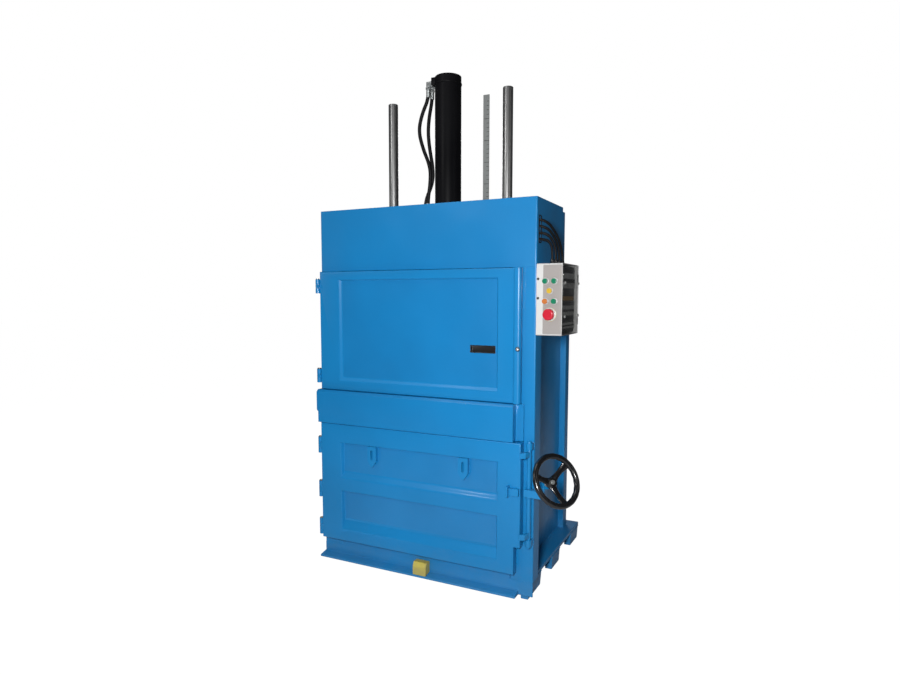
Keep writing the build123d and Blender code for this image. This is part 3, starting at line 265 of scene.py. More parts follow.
class Effects:
    """Node groups that more than one finish uses, each built once."""

    _made: dict[str, Tree] = {}

    @classmethod
    def use(cls, tree: Tree, name: str, values: dict[str, float]) -> Node:
        """Place a group in a material.

        Args:
            tree: The material's node tree.
            name: enamel, grime or scuffs.
            values: The group's input values.

        Returns:
            The placed group node.
        """
        if name not in cls._made:
            cls._made[name] = getattr(cls, "_" + name)()
        made = add_node(tree, "ShaderNodeGroup", None, node_tree=cls._made[name])
        for key, value in values.items():
            made.inputs[key].default_value = value
        return made

    @staticmethod
    def _enamel() -> Tree:
        """Sprayed enamel: fine orange peel, slow waves of thin plate, and cloudy shade.

        Returns:
            The group.
        """
        scales = {"Peel Scale": 420.0, "Wave Scale": 2.6}
        tree, start, end, place = new_group("enamel", scales, ("Peel", "Wave", "Cloud"))
        for output, scale, detail in (
            ("Peel", start.outputs["Peel Scale"], 1.0),
            ("Wave", start.outputs["Wave Scale"], 1.0),
            ("Cloud", 1.7, 5.0),
        ):
            tree.links.new(noise(tree, place, scale, detail), end.inputs[output])
        return tree

    @staticmethod
    def _grime() -> Tree:
        """Dust and splashes: thickest at the floor, broken up by noise, gone at Reach.

        Returns:
            The group.
        """
        tree, start, end, place = new_group("grime", {"Reach": 0.5}, ("Mask",))
        height = add_node(tree, "ShaderNodeSeparateXYZ", {0: place}).outputs["Z"]
        share = math_node(tree, "DIVIDE", height, start.outputs["Reach"])
        fall = math_node(tree, "SUBTRACT", 1.0, share)
        spread = math_node(tree, "SUBTRACT", noise(tree, place, 9.0, 7.0, 0.66), 0.42)
        total = add_share(tree, spread, fall, 0.5)
        tree.links.new(band(tree, total, 0.12, 0.62), end.inputs["Mask"])
        return tree

    @staticmethod
    def _scuffs() -> Tree:
        """Fine scratches: noise stretched along one way, kept only at its peaks.

        Returns:
            The group.
        """
        tree, start, end, place = new_group("scuffs", {"Fine": 90.0, "Amount": 0.5}, ("Mask",))
        stretch = {"Vector": place, "Rotation": (0.4, 0.3, 0.9), "Scale": (1, 14, 3)}
        along = add_node(tree, "ShaderNodeMapping", stretch).outputs[0]
        sharp = band(tree, noise(tree, along, start.outputs["Fine"], 3.0), 0.6, 0.7)
        where = band(tree, noise(tree, place, 4.0, 3.0), 0.46, 0.66)
        both = math_node(tree, "MULTIPLY", sharp, where)
        mask = math_node(tree, "MULTIPLY", both, start.outputs["Amount"])
        tree.links.new(mask, end.inputs["Mask"])
        return tree


def rgba(red: float, green: float, blue: float) -> Colour:
    """An opaque linear colour."""
    return (red, green, blue, 1.0)


def new_material(name: str) -> tuple[bpy.types.Material, Tree, Node]:
    """Start a material with nodes.

    Args:
        name: The material's name.

    Returns:
        The material, its node tree and its Principled shader.
    """
    made = bpy.data.materials.new(name)
    made.use_nodes = True
    return made, made.node_tree, made.node_tree.nodes["Principled BSDF"]


@dataclass(frozen=True)
class Finish:
    """A painted, plated or moulded surface.

    Its name differs from every slot's, because the model's own materials have the slots' names.
    """

    name: str
    colour: Colour
    shade: Colour
    slot: str
    rough: float = 0.35
    metallic: float = 0.0
    coat: float = 0.0
    gloss: float = 0.5
    peel: float = 0.0
    peel_scale: float = 420.0
    wave: float = 0.0
    wave_scale: float = 2.6
    scuff: float = 0.2
    scuff_fine: float = 90.0
    scuff_rough: float = 0.35
    grime: float = 0.0
    grime_reach: float = 0.5
    grime_colour: Colour = rgba(0.19, 0.17, 0.14)
    coat_rough: float = 0.12
    relief: float = 0.001

    def material(self) -> bpy.types.Material:
        """The finish as a material, built on first use.

        Returns:
            The material.
        """
        known = bpy.data.materials.get(self.name)
        if known is None:
            known, tree, shader = new_material(self.name)
            self.fill(tree, shader)
        return known

    def fill(self, tree: Tree, shader: Node) -> None:
        """Lay clouds, scuffs and grime over the colour, and peel and waves into the normal.

        Args:
            tree: The material's node tree.
            shader: Its Principled shader.
        """
        scales = {"Peel Scale": self.peel_scale, "Wave Scale": self.wave_scale}
        enamel = Effects.use(tree, "enamel", scales)
        scuffs = Effects.use(tree, "scuffs", {"Fine": self.scuff_fine, "Amount": self.scuff}).outputs[0]
        cloud = band(tree, enamel.outputs["Cloud"], 0.34, 0.66)
        colour = blend_colour(tree, cloud, self.colour, self.shade)
        lift = rgba(*(0.6 * part + 0.25 for part in self.colour[:3]))
        colour = blend_colour(tree, math_node(tree, "MULTIPLY", scuffs, 0.5), colour, lift)
        rough = add_share(tree, self.rough, scuffs, self.scuff_rough)
        rough = add_share(tree, rough, cloud, 0.05)
        if self.grime:
            dust = Effects.use(tree, "grime", {"Reach": self.grime_reach})
            mask = math_node(tree, "MULTIPLY", dust.outputs[0], self.grime)
            colour = blend_colour(tree, mask, colour, self.grime_colour)
            rough = add_share(tree, rough, mask, 0.5)
        tree.links.new(colour, shader.inputs["Base Color"])
        tree.links.new(rough, shader.inputs["Roughness"])
        shader.inputs["Metallic"].default_value = self.metallic
        shader.inputs["Specular IOR Level"].default_value = self.gloss
        if self.coat:
            shader.inputs["Coat Weight"].default_value = self.coat
            shader.inputs["Coat Roughness"].default_value = self.coat_rough
        peel = math_node(tree, "MULTIPLY", enamel.outputs["Peel"], self.peel)
        height = add_share(tree, peel, enamel.outputs["Wave"], self.wave)
        inputs = {"Height": height, "Strength": 1.0, "Distance": self.relief}
        bump = add_node(tree, "ShaderNodeBump", inputs)
        tree.links.new(bump.outputs[0], shader.inputs["Normal"])


@dataclass(frozen=True)
class SmokedClear(Finish):
    """Smoke-tinted clear moulding, seen through."""

    cover: float = 0.27
    scuff_fine: float = 120.0
    scuff_rough: float = 0.3

    def fill(self, tree: Tree, shader: Node) -> None:
        """Set a plain tint and cover, with scuffs in the gloss.

        Args:
            tree: The material's node tree.
            shader: Its Principled shader.
        """
        scuffs = Effects.use(tree, "scuffs", {"Fine": self.scuff_fine, "Amount": self.scuff}).outputs[0]
        rough = add_share(tree, self.rough, scuffs, self.scuff_rough)
        tree.links.new(rough, shader.inputs["Roughness"])
        shader.inputs["Base Color"].default_value = self.colour
        shader.inputs["Alpha"].default_value = self.cover


BLUE = Finish(
    "blue_enamel", rgba(0.006, 0.195, 0.47), rgba(0.005, 0.178, 0.43), "blue_paint", 0.34,
    gloss=0.34, coat=0.15, peel=0.03, wave=6.0, scuff=0.05, grime=0.12, grime_reach=0.25,
)
BLUE_SHEET = Finish(
    "blue_sheet_enamel", rgba(0.006, 0.19, 0.46), rgba(0.005, 0.174, 0.425), "blue_paint", 0.32,
    gloss=0.34, coat=0.15, peel=0.03, wave=14.0, wave_scale=3.2, scuff=0.05, grime=0.1,
    grime_reach=0.25,
)
BLUE_PANEL = Finish(
    "blue_panel_enamel", rgba(0.006, 0.186, 0.455), rgba(0.004, 0.165, 0.41), "blue_paint", 0.3,
    coat=0.2, peel=0.03, wave=26.0, wave_scale=3.0, scuff=0.05, grime=0.1, grime_reach=0.25,
)
BLACK = Finish(
    "black_enamel", rgba(0.0022, 0.0022, 0.003), rgba(0.005, 0.005, 0.006), "black_paint", 0.36,
    gloss=0.08, peel=0.04, scuff=0.08,
)
DARK = Finish(
    "dark_grey_enamel", rgba(0.035, 0.038, 0.042), rgba(0.05, 0.052, 0.056), "dark_grey_paint", 0.42,
    peel=0.06,
)
MOTOR_GREY = Finish(
    "motor_enamel", rgba(0.1, 0.115, 0.125), rgba(0.075, 0.088, 0.098), "dark_grey_paint", 0.4,
    coat=0.1, peel=0.08,
)
CHROME = Finish(
    "ground_chrome", rgba(0.36, 0.36, 0.355), rgba(0.31, 0.31, 0.31), "chrome", 0.34, 1.0,
    scuff=0.08, scuff_fine=240.0,
)
BRIGHT = Finish("bright_plate", rgba(0.8, 0.8, 0.78), rgba(0.7, 0.7, 0.69), "zinc", 0.2, 0.9)
STEEL = Finish(
    "worn_steel", rgba(0.3, 0.29, 0.28), rgba(0.2, 0.18, 0.16), "bare_steel", 0.38, 1.0,
    scuff=0.6, scuff_fine=160.0,
)
GAUGE = Finish(
    "gauge_strip", rgba(0.2, 0.21, 0.208), rgba(0.16, 0.168, 0.166), "zinc", 0.5, 0.2,
    scuff=0.3, scuff_fine=200.0,
)
ZINC = Finish(
    "zinc_plate", rgba(0.5, 0.52, 0.52), rgba(0.36, 0.385, 0.385), "zinc", 0.42, 0.85,
    peel=0.05, peel_scale=60.0, scuff=0.3,
)
RUBBER = Finish(
    "smooth_rubber", rgba(0.006, 0.006, 0.007), rgba(0.012, 0.012, 0.013), "hose_rubber", 0.5,
    gloss=0.12, peel=0.09, peel_scale=900.0,
)
BLACK_PLASTIC = Finish(
    "black_moulding", rgba(0.005, 0.005, 0.006), rgba(0.011, 0.011, 0.012), "black_plastic", 0.32,
    coat=0.15, peel=0.03, peel_scale=700.0,
)
WHEEL_BLACK = Finish(
    "wheel_moulding", rgba(0.003, 0.003, 0.0035), rgba(0.006, 0.006, 0.007), "black_plastic", 0.2,
    coat=0.5, peel=0.015, peel_scale=500.0, scuff=0.1,
)
CABINET = Finish(
    "cabinet_moulding", rgba(0.56, 0.56, 0.55), rgba(0.51, 0.51, 0.5), "grey_plastic", 0.4,
    peel=0.05, peel_scale=800.0, grime=0.1, grime_reach=1.9,
)
BEIGE = Finish(
    "button_plate", rgba(0.295, 0.272, 0.26), rgba(0.265, 0.245, 0.233), "grey_plastic", 0.4,
    peel=0.03, peel_scale=700.0,
)
GEAR = Finish(
    "switch_moulding", rgba(0.34, 0.34, 0.33), rgba(0.26, 0.26, 0.255), "white_plastic", 0.45
)
GEAR_BAND = Finish(
    "terminal_moulding", rgba(0.36, 0.21, 0.06), rgba(0.28, 0.16, 0.05), "white_plastic", 0.4
)
YELLOW = Finish(
    "yellow_enamel", rgba(0.62, 0.52, 0.06), rgba(0.5, 0.42, 0.06), "yellow_paint", 0.36,
    peel=0.05, scuff=0.9, grime=0.5, grime_reach=0.25,
)
OIL = Finish(
    "sight_oil", rgba(0.42, 0.24, 0.03), rgba(0.34, 0.18, 0.02), "yellow_plastic", 0.12, coat=0.5
)
GREEN_CAP = Finish(
    "green_cap", rgba(0.006, 0.17, 0.085), rgba(0.005, 0.14, 0.07), "green_plastic", 0.25, coat=0.2
)
YELLOW_CAP = Finish(
    "yellow_cap", rgba(0.56, 0.36, 0.03), rgba(0.48, 0.31, 0.02), "yellow_plastic", 0.25, coat=0.2
)
ORANGE_CAP = Finish(
    "orange_cap", rgba(0.48, 0.15, 0.035), rgba(0.4, 0.12, 0.03), "orange_plastic", 0.25, coat=0.2
)
RED_CAP = Finish(
    "red_cap", rgba(0.5, 0.012, 0.03), rgba(0.42, 0.01, 0.025), "red_plastic", 0.25, coat=0.2
)
SMOKED = SmokedClear(
    "smoked_clear", rgba(0.035, 0.035, 0.035), rgba(0.03, 0.03, 0.03), "smoked_lid", 0.08
)


# Surfaces


def grid_faces(rows: int, columns: int, close_rows: bool, close_columns: bool) -> Array:
    """Quads over a grid of points.

    Face (i, j) joins point (i, j) to its neighbours along both ways, wrapping where closed.

    Args:
        rows: Points along the first parameter.
        columns: Points along the second parameter.
        close_rows: Join the last row to the first.
        close_columns: Join the last column to the first.

    Returns:
        An array of four point numbers a face.
    """
    i, j = np.meshgrid(
        np.arange(rows if close_rows else rows - 1),
        np.arange(columns if close_columns else columns - 1), indexing="ij",
    )
    i2, j2 = (i + 1) % rows, (j + 1) % columns
    corners = [i * columns + j, i * columns + j2, i2 * columns + j2, i2 * columns + j]
    return np.stack(corners, -1).reshape(-1, 4)


def around(count: int) -> Array:
    """Angles of evenly spaced points round a circle."""
    return np.linspace(0, 2 * math.pi, count, endpoint=False)


def circle(angle: Array, first: Array, second: Array) -> Array:
    """Directions cos t first + sin t second, one for each angle t."""
    return np.cos(angle)[..., None] * first + np.sin(angle)[..., None] * second


def frame_of(axis: Array) -> tuple[Array, Array, Array]:
    """Two unit directions square to an axis, and the axis as a unit vector.

    Args:
        axis: A direction.

    Returns:
        First side, second side and the axis, right-handed.
    """
    axis = np.asarray(axis, float)
    axis = axis / np.linalg.norm(axis)
    helper = np.array(UP if abs(axis[2]) < 0.9 else RIGHT)
    first = np.cross(helper, axis)
    first /= np.linalg.norm(first)
    return first, np.cross(axis, first), axis


def turned(profile: Array, origin: Array, axis: Array, sides: int, start: float = 0.0) -> Array:
    """Loops of a turned shape: point = origin + r(cos t, sin t) in the side plane + h axis.

    Args:
        profile: Rows of radius and height.
        origin: Where height is 0.
        axis: The turning axis.
        sides: Points round each loop.
        start: Angle of the first point.

    Returns:
        Array of loops by points by three.
    """
    first, second, axis = frame_of(axis)
    ring = circle(start + around(sides), first, second)
    radius, height = np.asarray(profile, float).T
    return np.asarray(origin) + radius[:, None, None] * ring + height[:, None, None] * axis


def slab(width: float, depth: float, thick: float, corner: float, edge: float, sides: int = 6) -> Array:
    """Loops of a plate in its own frame: a rounded rectangle carried up its thickness.

    Each loop is the rectangle's corner arcs; the loops at both faces are drawn in by the edge.

    Args:
        width: Size along the first way.
        depth: Size along the second way.
        thick: Height, from 0.
        corner: Radius of the corners.
        edge: Rounding of both faces' edges.
        sides: Points on each corner.

    Returns:
        Array of four loops by points by three.
    """
    angle = (np.arange(4)[:, None] * 90 + np.linspace(0, 90, sides)[None, :]) * math.pi / 180
    sign_x = np.array([1, -1, -1, 1])[:, None]
    sign_y = np.array([1, 1, -1, -1])[:, None]
    loops = []
    for inset, height in ((edge, 0.0), (0.0, edge), (0.0, thick - edge), (edge, thick)):
        reach = max(corner - inset, 1e-5)
        x = sign_x * (width / 2 - corner) + reach * np.cos(angle)
        y = sign_y * (depth / 2 - corner) + reach * np.sin(angle)
        loops.append(np.stack([x, y, np.full_like(x, height)], -1).reshape(-1, 3))
    return np.array(loops)


def placed(loops: Array, origin: Array, first: Array, second: Array) -> Array:
    """Carry loops from their own frame to the model's.

    Args:
        loops: Array whose last axis is x, y, z in the piece's frame.
        origin: Where the piece's zero goes.
        first: Direction of the piece's x.
        second: Direction of the piece's y.

    Returns:
        The same array in the model's frame.
    """
    first, second = np.asarray(first, float), np.asarray(second, float)
    basis = np.stack([first, second, np.cross(first, second)])
    return np.asarray(origin, float) + loops @ basis


def bead(path: Array, radius: float, ripple: float = 0.012) -> Array:
    """Loops of a weld bead: a circle carried along a path, its radius rippling with length.

    Args:
        path: Points that the bead follows.
        radius: The bead's mean radius.
        ripple: Length of one ripple.

    Returns:
        Array of loops by points by three.
    """
    path = np.asarray(path, float)
    runs = np.linalg.norm(np.diff(path, axis=0), axis=1)
    along = np.concatenate([[0.0], np.cumsum(runs)])
    count = max(int(along[-1] / (ripple / 4)), 4)
    at = np.linspace(0, along[-1], count)
    line = np.stack([np.interp(at, along, path[:, k]) for k in range(3)], -1)
    first, second, _ = frame_of(path[-1] - path[0])
    swell = radius * (1 + 0.16 * np.abs(np.sin(math.pi * at / ripple)))
    swell[[0, -1]] *= 0.35
    return line[:, None, :] + swell[:, None, None] * circle(around(8), first, second)


def corners(middle: Point, first: Point, second: Point) -> list[Array]:
    """The four points at middle plus or minus first, plus or minus second."""
    ways = [np.asarray(way, float) for way in (first, second)]
    return [np.asarray(middle) + a * ways[0] + b * ways[1] for a in SIDES for b in SIDES]


@dataclass
class Surface:
    """Points and faces gathered for one piece."""

    points: list[Array] = field(default_factory=list)
    faces: list[list[int]] = field(default_factory=list)
    count: int = 0

    def add(self, points: Array, faces: list[list[int]]) -> None:
        """Join more points and faces, numbered from their own zero.

        Args:
            points: An array of points, three numbers each.
            faces: Lists of point numbers.
        """
        self.points.append(np.asarray(points, float).reshape(-1, 3))
        self.faces.extend([[n + self.count for n in face] for face in faces])
        self.count += len(self.points[-1])

    def loft(self, loops: Array, caps: bool = True) -> None:
        """Skin closed loops, one after the other, and close both ends.

        Args:
            loops: Array of loops by points by three.
            caps: Close the first and last loop with one face each.
        """
        rows, columns = loops.shape[:2]
        faces = grid_faces(rows, columns, False, True).tolist()
        if caps:
            faces.append(list(range(columns))[::-1])
            faces.append(list(range((rows - 1) * columns, rows * columns)))
        self.add(loops, faces)

    def torus(self, grid: Array) -> None:
        """Skin a grid that closes both ways."""
        self.add(grid, grid_faces(*grid.shape[:2], True, True).tolist())

    def weld(self, start: Point, end: Point, radius: float) -> None:
        """Add a straight weld bead from start to end."""
        self.loft(bead([start, end], radius))

    def turn(self, profile: Array, origin: Point, axis: Point, sides: int, start: float = 0.0) -> None:
        """Add a turned shape with no end faces beyond its profile."""
        self.loft(turned(profile, origin, axis, sides, start), caps=False)

    def plate(self, size: tuple, origin: Point, first: Point, second: Point, sides: int = 6) -> None:
        """Add a plate of width, depth, thickness, corner and edge, standing on its origin."""
        self.loft(placed(slab(*size, sides), origin, first, second))

    def bolts(self, places: list[Point], axis: Point, size: float, head: Head = Head.HEX) -> None:
        """Add bolt heads on washers: a washer disc, then a head that narrows to its chamfer.

        Args:
            places: Where each bolt meets its seat.
            axis: Direction out of the seat.
            size: The thread's diameter.
            head: Hexagon or round.
        """
        washer = np.array([[0.0, 0.0], [1.05, 0.0], [1.05, 0.14], [0.98, 0.18], [0.0, 0.18]]) * size
        top = np.array([[0.0, 0.18], [0.84, 0.18], [0.84, 0.72], [0.72, 0.82], [0.0, 0.82]]) * size
        for place in places:
            self.turn(washer, place, axis, 20)
            self.turn(top, place, axis, head.value)

    def build(
        self, name: str, body: Body, finish: Finish, smooth: bool = True
    ) -> bpy.types.Object:
        """Make the piece, dress it and set it on its body.

        Args:
            name: The piece's name.
            body: What it moves with.
            finish: Its surface.
            smooth: Shade across faces that meet at under 40 degrees.

        Returns:
            The piece.
        """
        mesh = bpy.data.meshes.new(name)
        mesh.from_pydata(np.concatenate(self.points).tolist(), [], self.faces)
        work = bmesh.new()
        work.from_mesh(mesh)
        bmesh.ops.remove_doubles(work, verts=work.verts, dist=MERGE)
        return settle(work, mesh, body, finish, smooth)


def settle(
    work: bmesh.types.BMesh, mesh: bpy.types.Mesh, body: Body, finish: Finish,
    smooth: bool = True, bevel: float = 0.0,
) -> bpy.types.Object:
    """Turn a mesh's faces outwards, shade it and set it on its body.

    Args:
        work: The shape, in the model's frame.
        mesh: The mesh that takes it, with the piece's name.
        body: What it moves with.
        finish: Its surface.
        smooth: Shade across faces that meet at under 40 degrees.
        bevel: Width of rounded edges, none at 0.

    Returns:
        The piece.
    """
    bmesh.ops.recalc_face_normals(work, faces=work.faces)
    work.to_mesh(mesh)
    work.free()
    if smooth:
        mesh.shade_smooth()
        mesh.set_sharp_from_angle(angle=SHARP)
    piece = bpy.data.objects.new(mesh.name, mesh)
    bpy.context.scene.collection.objects.link(piece)
    mesh.materials.append(finish.material())
    if bevel:
        edge = piece.modifiers.new("edges", "BEVEL")
        edge.width, edge.segments, edge.limit_method = bevel, 2, "ANGLE"
        edge.angle_limit = SHARP
        edge.harden_normals = smooth
    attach(piece, body.value)
    LOG.info("%s on %s: %d faces", piece.name, body.value, len(mesh.polygons))
    return piece


class Press:
    """The loaded model and the dressing of its own nodes."""

    def __init__(self) -> None:
        """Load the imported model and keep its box."""
        self.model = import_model()
        self.rest_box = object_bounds()
        self.nodes: dict[str, bpy.types.Object] = self.model["nodes"]

    def dress(self, finish: Finish, *names: str) -> None:
        """Give nodes a finish as they are.

        Args:
            finish: The surface.
            *names: The nodes.
        """
        for name in names:
            mesh = self.nodes[name].data
            mesh.materials.clear()
            mesh.materials.append(finish.material())
            LOG.info("%s dressed in %s", name, finish.name)

    def round_off(self, finish: Finish, width: float, *names: str) -> None:
        """Stand a copy with rounded edges in for each node.

        Args:
            finish: The surface.
            width: How wide the rounded edges are.
            *names: The nodes.
        """
        for name in names:
            node = self.nodes[name]
            mesh = node.data.copy()
            mesh.name = name + "_edged"
            mesh.materials.clear()
            work = bmesh.new()
            work.from_mesh(mesh)
            bmesh.ops.remove_doubles(work, verts=work.verts, dist=MERGE)
            bmesh.ops.dissolve_limit(work, angle_limit=FLAT, verts=work.verts, edges=work.edges)
            piece = settle(work, mesh, Body(node["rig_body"]), finish, bevel=width)
            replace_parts(piece, name)

    def save_sizes(self) -> None:
        """Update the view layer, so that every piece's place is current."""
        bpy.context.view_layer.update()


@dataclass
class Studio:
    """Camera, floor and soft lights."""

    focal_px: float = 631.0
    centre_px: Span = (450.96, 354.72)
    image: tuple[int, int] = (900, 675)
    sensor: float = 36.0
    far: float = 80.0
    yaw: float = 26.114
    pitch: float = 5.152
    roll: float = 0.046
    place: Point = (1.747, -3.6876, 1.6517)
    sky: Colour = rgba(0.92, 0.96, 1.0)
    sky_glow: float = 0.055
    floor_reach: float = 40.0
    floor_tone: Colour = rgba(0.6, 0.6, 0.6)
    floor_rough: float = 0.9
    floor_glow: float = 0.86
    floor_white: float = 1.157
    lights: tuple[tuple[str, Point, Point, Span, float], ...] = (
        ("key_box", (1.4, -3.5, 1.76), (0.1, -0.5, 1.15), (0.34, 0.34), 112.0),
        ("top_box", (-0.6, -1.6, 4.9), (0.0, -0.1, 1.2), (2.4, 1.6), 26.0),
        ("left_box", (-4.8, -3.2, 2.4), (-0.2, -0.5, 1.2), (1.2, 1.6), 12.0),
        ("right_strip", (3.9, -1.0, 2.7), (0.3, -0.2, 2.4), (0.5, 1.4), 4.5),
        ("high_lamp", (-1.3, -3.4, 3.4), (0.2, -0.55, 1.1), (0.34, 0.34), 16.0),
        ("rear_box", (-2.4, 4.4, 3.2), (0.0, 0.2, 1.0), (2.2, 1.8), 110.0),
    )

    def camera(self) -> None:
        """Set up the camera: the sensor's width stands for the image's width."""
        yaw, pitch, roll = (math.radians(v) for v in (self.yaw, self.pitch, self.roll))
        ahead = Vector((
            -math.sin(yaw) * math.cos(pitch), math.cos(yaw) * math.cos(pitch), -math.sin(pitch)
        ))
        level = Vector((math.cos(yaw), math.sin(yaw), 0.0))
        up = level.cross(ahead)
        right = level * math.cos(roll) + up * math.sin(roll)
        up = right.cross(ahead)
        wide, tall = self.image
        lens = bpy.data.cameras.new("camera")
        lens.sensor_width = self.sensor
        lens.lens = self.focal_px * self.sensor / wide
        lens.shift_x = (wide / 2 - self.centre_px[0]) / wide
        lens.shift_y = (self.centre_px[1] - tall / 2) / wide
        lens.clip_end = self.far
        camera = bpy.data.objects.new("camera", lens)
        turn = Matrix((right, up, -ahead)).transposed()
        camera.matrix_world = Matrix.Translation(self.place) @ turn.to_4x4()
        bpy.context.scene.collection.objects.link(camera)
        bpy.context.scene.camera = camera

    def light(self, name: str, place: Point, aim: Point, size: Span, power: float) -> None:
        """Hang a soft box.

        Args:
            name: The light's name.
            place: Where it hangs.
            aim: The point it faces.
            size: Width and height.
            power: Watts.
        """
        lamp = bpy.data.lights.new(name, "AREA")
        lamp.shape, lamp.size, lamp.size_y, lamp.energy = "RECTANGLE", size[0], size[1], power
        item = bpy.data.objects.new(name, lamp)
        item.location = place
        item.rotation_euler = (Vector(aim) - Vector(place)).to_track_quat("-Z", "Y").to_euler()
        bpy.context.scene.collection.objects.link(item)

    def surround(self) -> None:
        """White behind the object, and a dimmer even glow on it."""
        world = bpy.data.worlds.new("surround")
        bpy.context.scene.world = world
        world.use_nodes = True
        tree = world.node_tree
        seen = add_node(tree, "ShaderNodeLightPath").outputs["Is Camera Ray"]
        glow, pale = (
            add_node(tree, "ShaderNodeBackground", {"Color": colour, "Strength": strength}).outputs[0]
            for colour, strength in ((self.sky, self.sky_glow), (rgba(1.0, 1.0, 1.0), 1.0))
        )
        mixed = add_node(tree, "ShaderNodeMixShader", {0: seen, 1: glow, 2: pale})
        tree.links.new(mixed.outputs[0], tree.nodes["World Output"].inputs[0])

    def floor(self) -> None:
        """A wide pale floor that glows like a lit studio sweep, with a soft shade under the base."""
        reach = self.floor_reach
        mesh = bpy.data.meshes.new("floor")
        rim = [(-reach, -reach, 0), (reach, -reach, 0), (reach, reach, 0), (-reach, reach, 0)]
        mesh.from_pydata(rim, [], [[0, 1, 2, 3]])
        sheet = bpy.data.objects.new("floor", mesh)
        bpy.context.scene.collection.objects.link(sheet)
        cover, tree, shader = new_material("pale_floor")
        shader.inputs["Base Color"].default_value = self.floor_tone
        shader.inputs["Roughness"].default_value = self.floor_rough
        seen = add_node(tree, "ShaderNodeLightPath").outputs["Is Camera Ray"]
        share = math_node(tree, "MULTIPLY", seen, self.floor_glow)
        lit = {"Color": rgba(1.0, 1.0, 1.0), "Strength": self.floor_white}
        white = add_node(tree, "ShaderNodeEmission", lit)
        inputs = {0: share, 1: shader.outputs[0], 2: white.outputs[0]}
        mixed = add_node(tree, "ShaderNodeMixShader", inputs)
        tree.links.new(mixed.outputs[0], tree.nodes["Material Output"].inputs[0])
        mesh.materials.append(cover)
        sheet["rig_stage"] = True

    def build(self) -> None:
        """Make the camera, the pale surround, the pale floor and the lights."""
        bpy.context.scene.view_settings.view_transform = "Standard"
        self.camera()
        self.surround()
        self.floor()
        for row in self.lights:
            self.light(*row)


@dataclass
class WeldedBody:
    """The welded box: base, posts, walls, header, beam and sill."""

    half: float = 0.692
    front: float = -0.525
    rib_seam_y: float = 0.177
    wall_face: float = 0.568
    post_depth: float = 0.100
    rear_post: Span = (0.365, 0.445)
    rear_post_x: Span = (0.524, 0.604)
    base_side: float = 0.667
    base_top: float = 0.106
    foot_top: float = 0.084
    foot_thick: float = 0.052
    foot_spans: tuple[Span, ...] = ((-0.517, -0.292), (-0.081, 0.081), (0.337, 0.517))
    header_bottom: float = 1.812
    header_back: float = -0.014
    rib_levels: tuple[float, ...] = (0.400, 0.780, 1.160, 1.540)
    rib_height: float = 0.080
    stitches: tuple[float, ...] = (-0.54, 0.5, 0.18)
    stitch: float = 0.09
    sill_level: float = 0.049
    sill_right: float = 0.610
    wall_bead: float = 0.004
    post_bead: float = 0.0035
    thin_bead: float = 0.003
    header_bead: float = 0.002
    inset: float = 0.006
    sill_inset: float = 0.01

    def build(self, press: Press) -> None:
        """Dress the nodes and run the weld beads.

        Args:
            press: The loaded model.
        """
        press.round_off(BLUE, 0.0025, "base_frame", "base_feet", "front_posts", "rear_posts")
        press.round_off(BLUE_SHEET, 0.003, "front_beam", "header_box")
        press.round_off(YELLOW, 0.003, "sill_stop")
        press.round_off(BLUE_SHEET, 0.0015, "side_walls", "back_wall", "header_cover")
        press.round_off(BLUE, 0.003, "top_beams")
        press.round_off(STEEL, 0.001, "chamber_floor")
        press.round_off(STEEL, 0.0015, "guide_bushes")
        self.welds()

    def welds(self) -> None:
        """Beads where walls meet posts and deck, feet meet the deck, and ribs meet the back wall."""
        seams = Surface()
        near, far = self.front + self.post_depth, self.rear_post[0]
        low, high = self.base_top, self.header_bottom
        for side in SIDES:
            wall, edge = side * self.wall_face, side * self.half
            seams.weld((wall, near, low), (wall, near, high), self.wall_bead)
            seams.weld((wall, far, low), (wall, far, high), self.wall_bead)
            seams.weld((wall, near, low), (wall, far, low), self.wall_bead)
            start, end = self.front + self.inset, near - self.inset
            seams.weld((edge, start, high), (edge, end, high), self.header_bead)
            for start, end in self.foot_spans:
                for face in (0.0, -self.foot_thick):
                    x = side * (self.base_side + face)
                    seams.weld((x, start, self.foot_top), (x, end, self.foot_top), self.thin_bead)
            inner, outer = (side * x for x in self.rear_post_x)
            start, end = self.rear_post
            for x in (inner, outer):
                seams.weld((x, start + self.inset, low), (x, end - self.inset, low), self.post_bead)
            seams.weld((inner, end, low), (outer, end, low), self.post_bead)
            seams.weld((wall, near, high), (wall, self.header_back, high), self.thin_bead)
        y = self.rib_seam_y
        for level in self.rib_levels:
            for edge in (-0.5, 0.5):
                z = level + edge * self.rib_height
                for start in np.arange(*self.stitches):
                    seams.weld((start, y, z), (start + self.stitch, y, z), self.post_bead)
        left = (-self.half + self.sill_inset, self.front, self.sill_level)
        seams.weld(left, (self.sill_right, self.front, self.sill_level), self.thin_bead)
        seams.build("body_welds", Body.FRAME, BLUE)


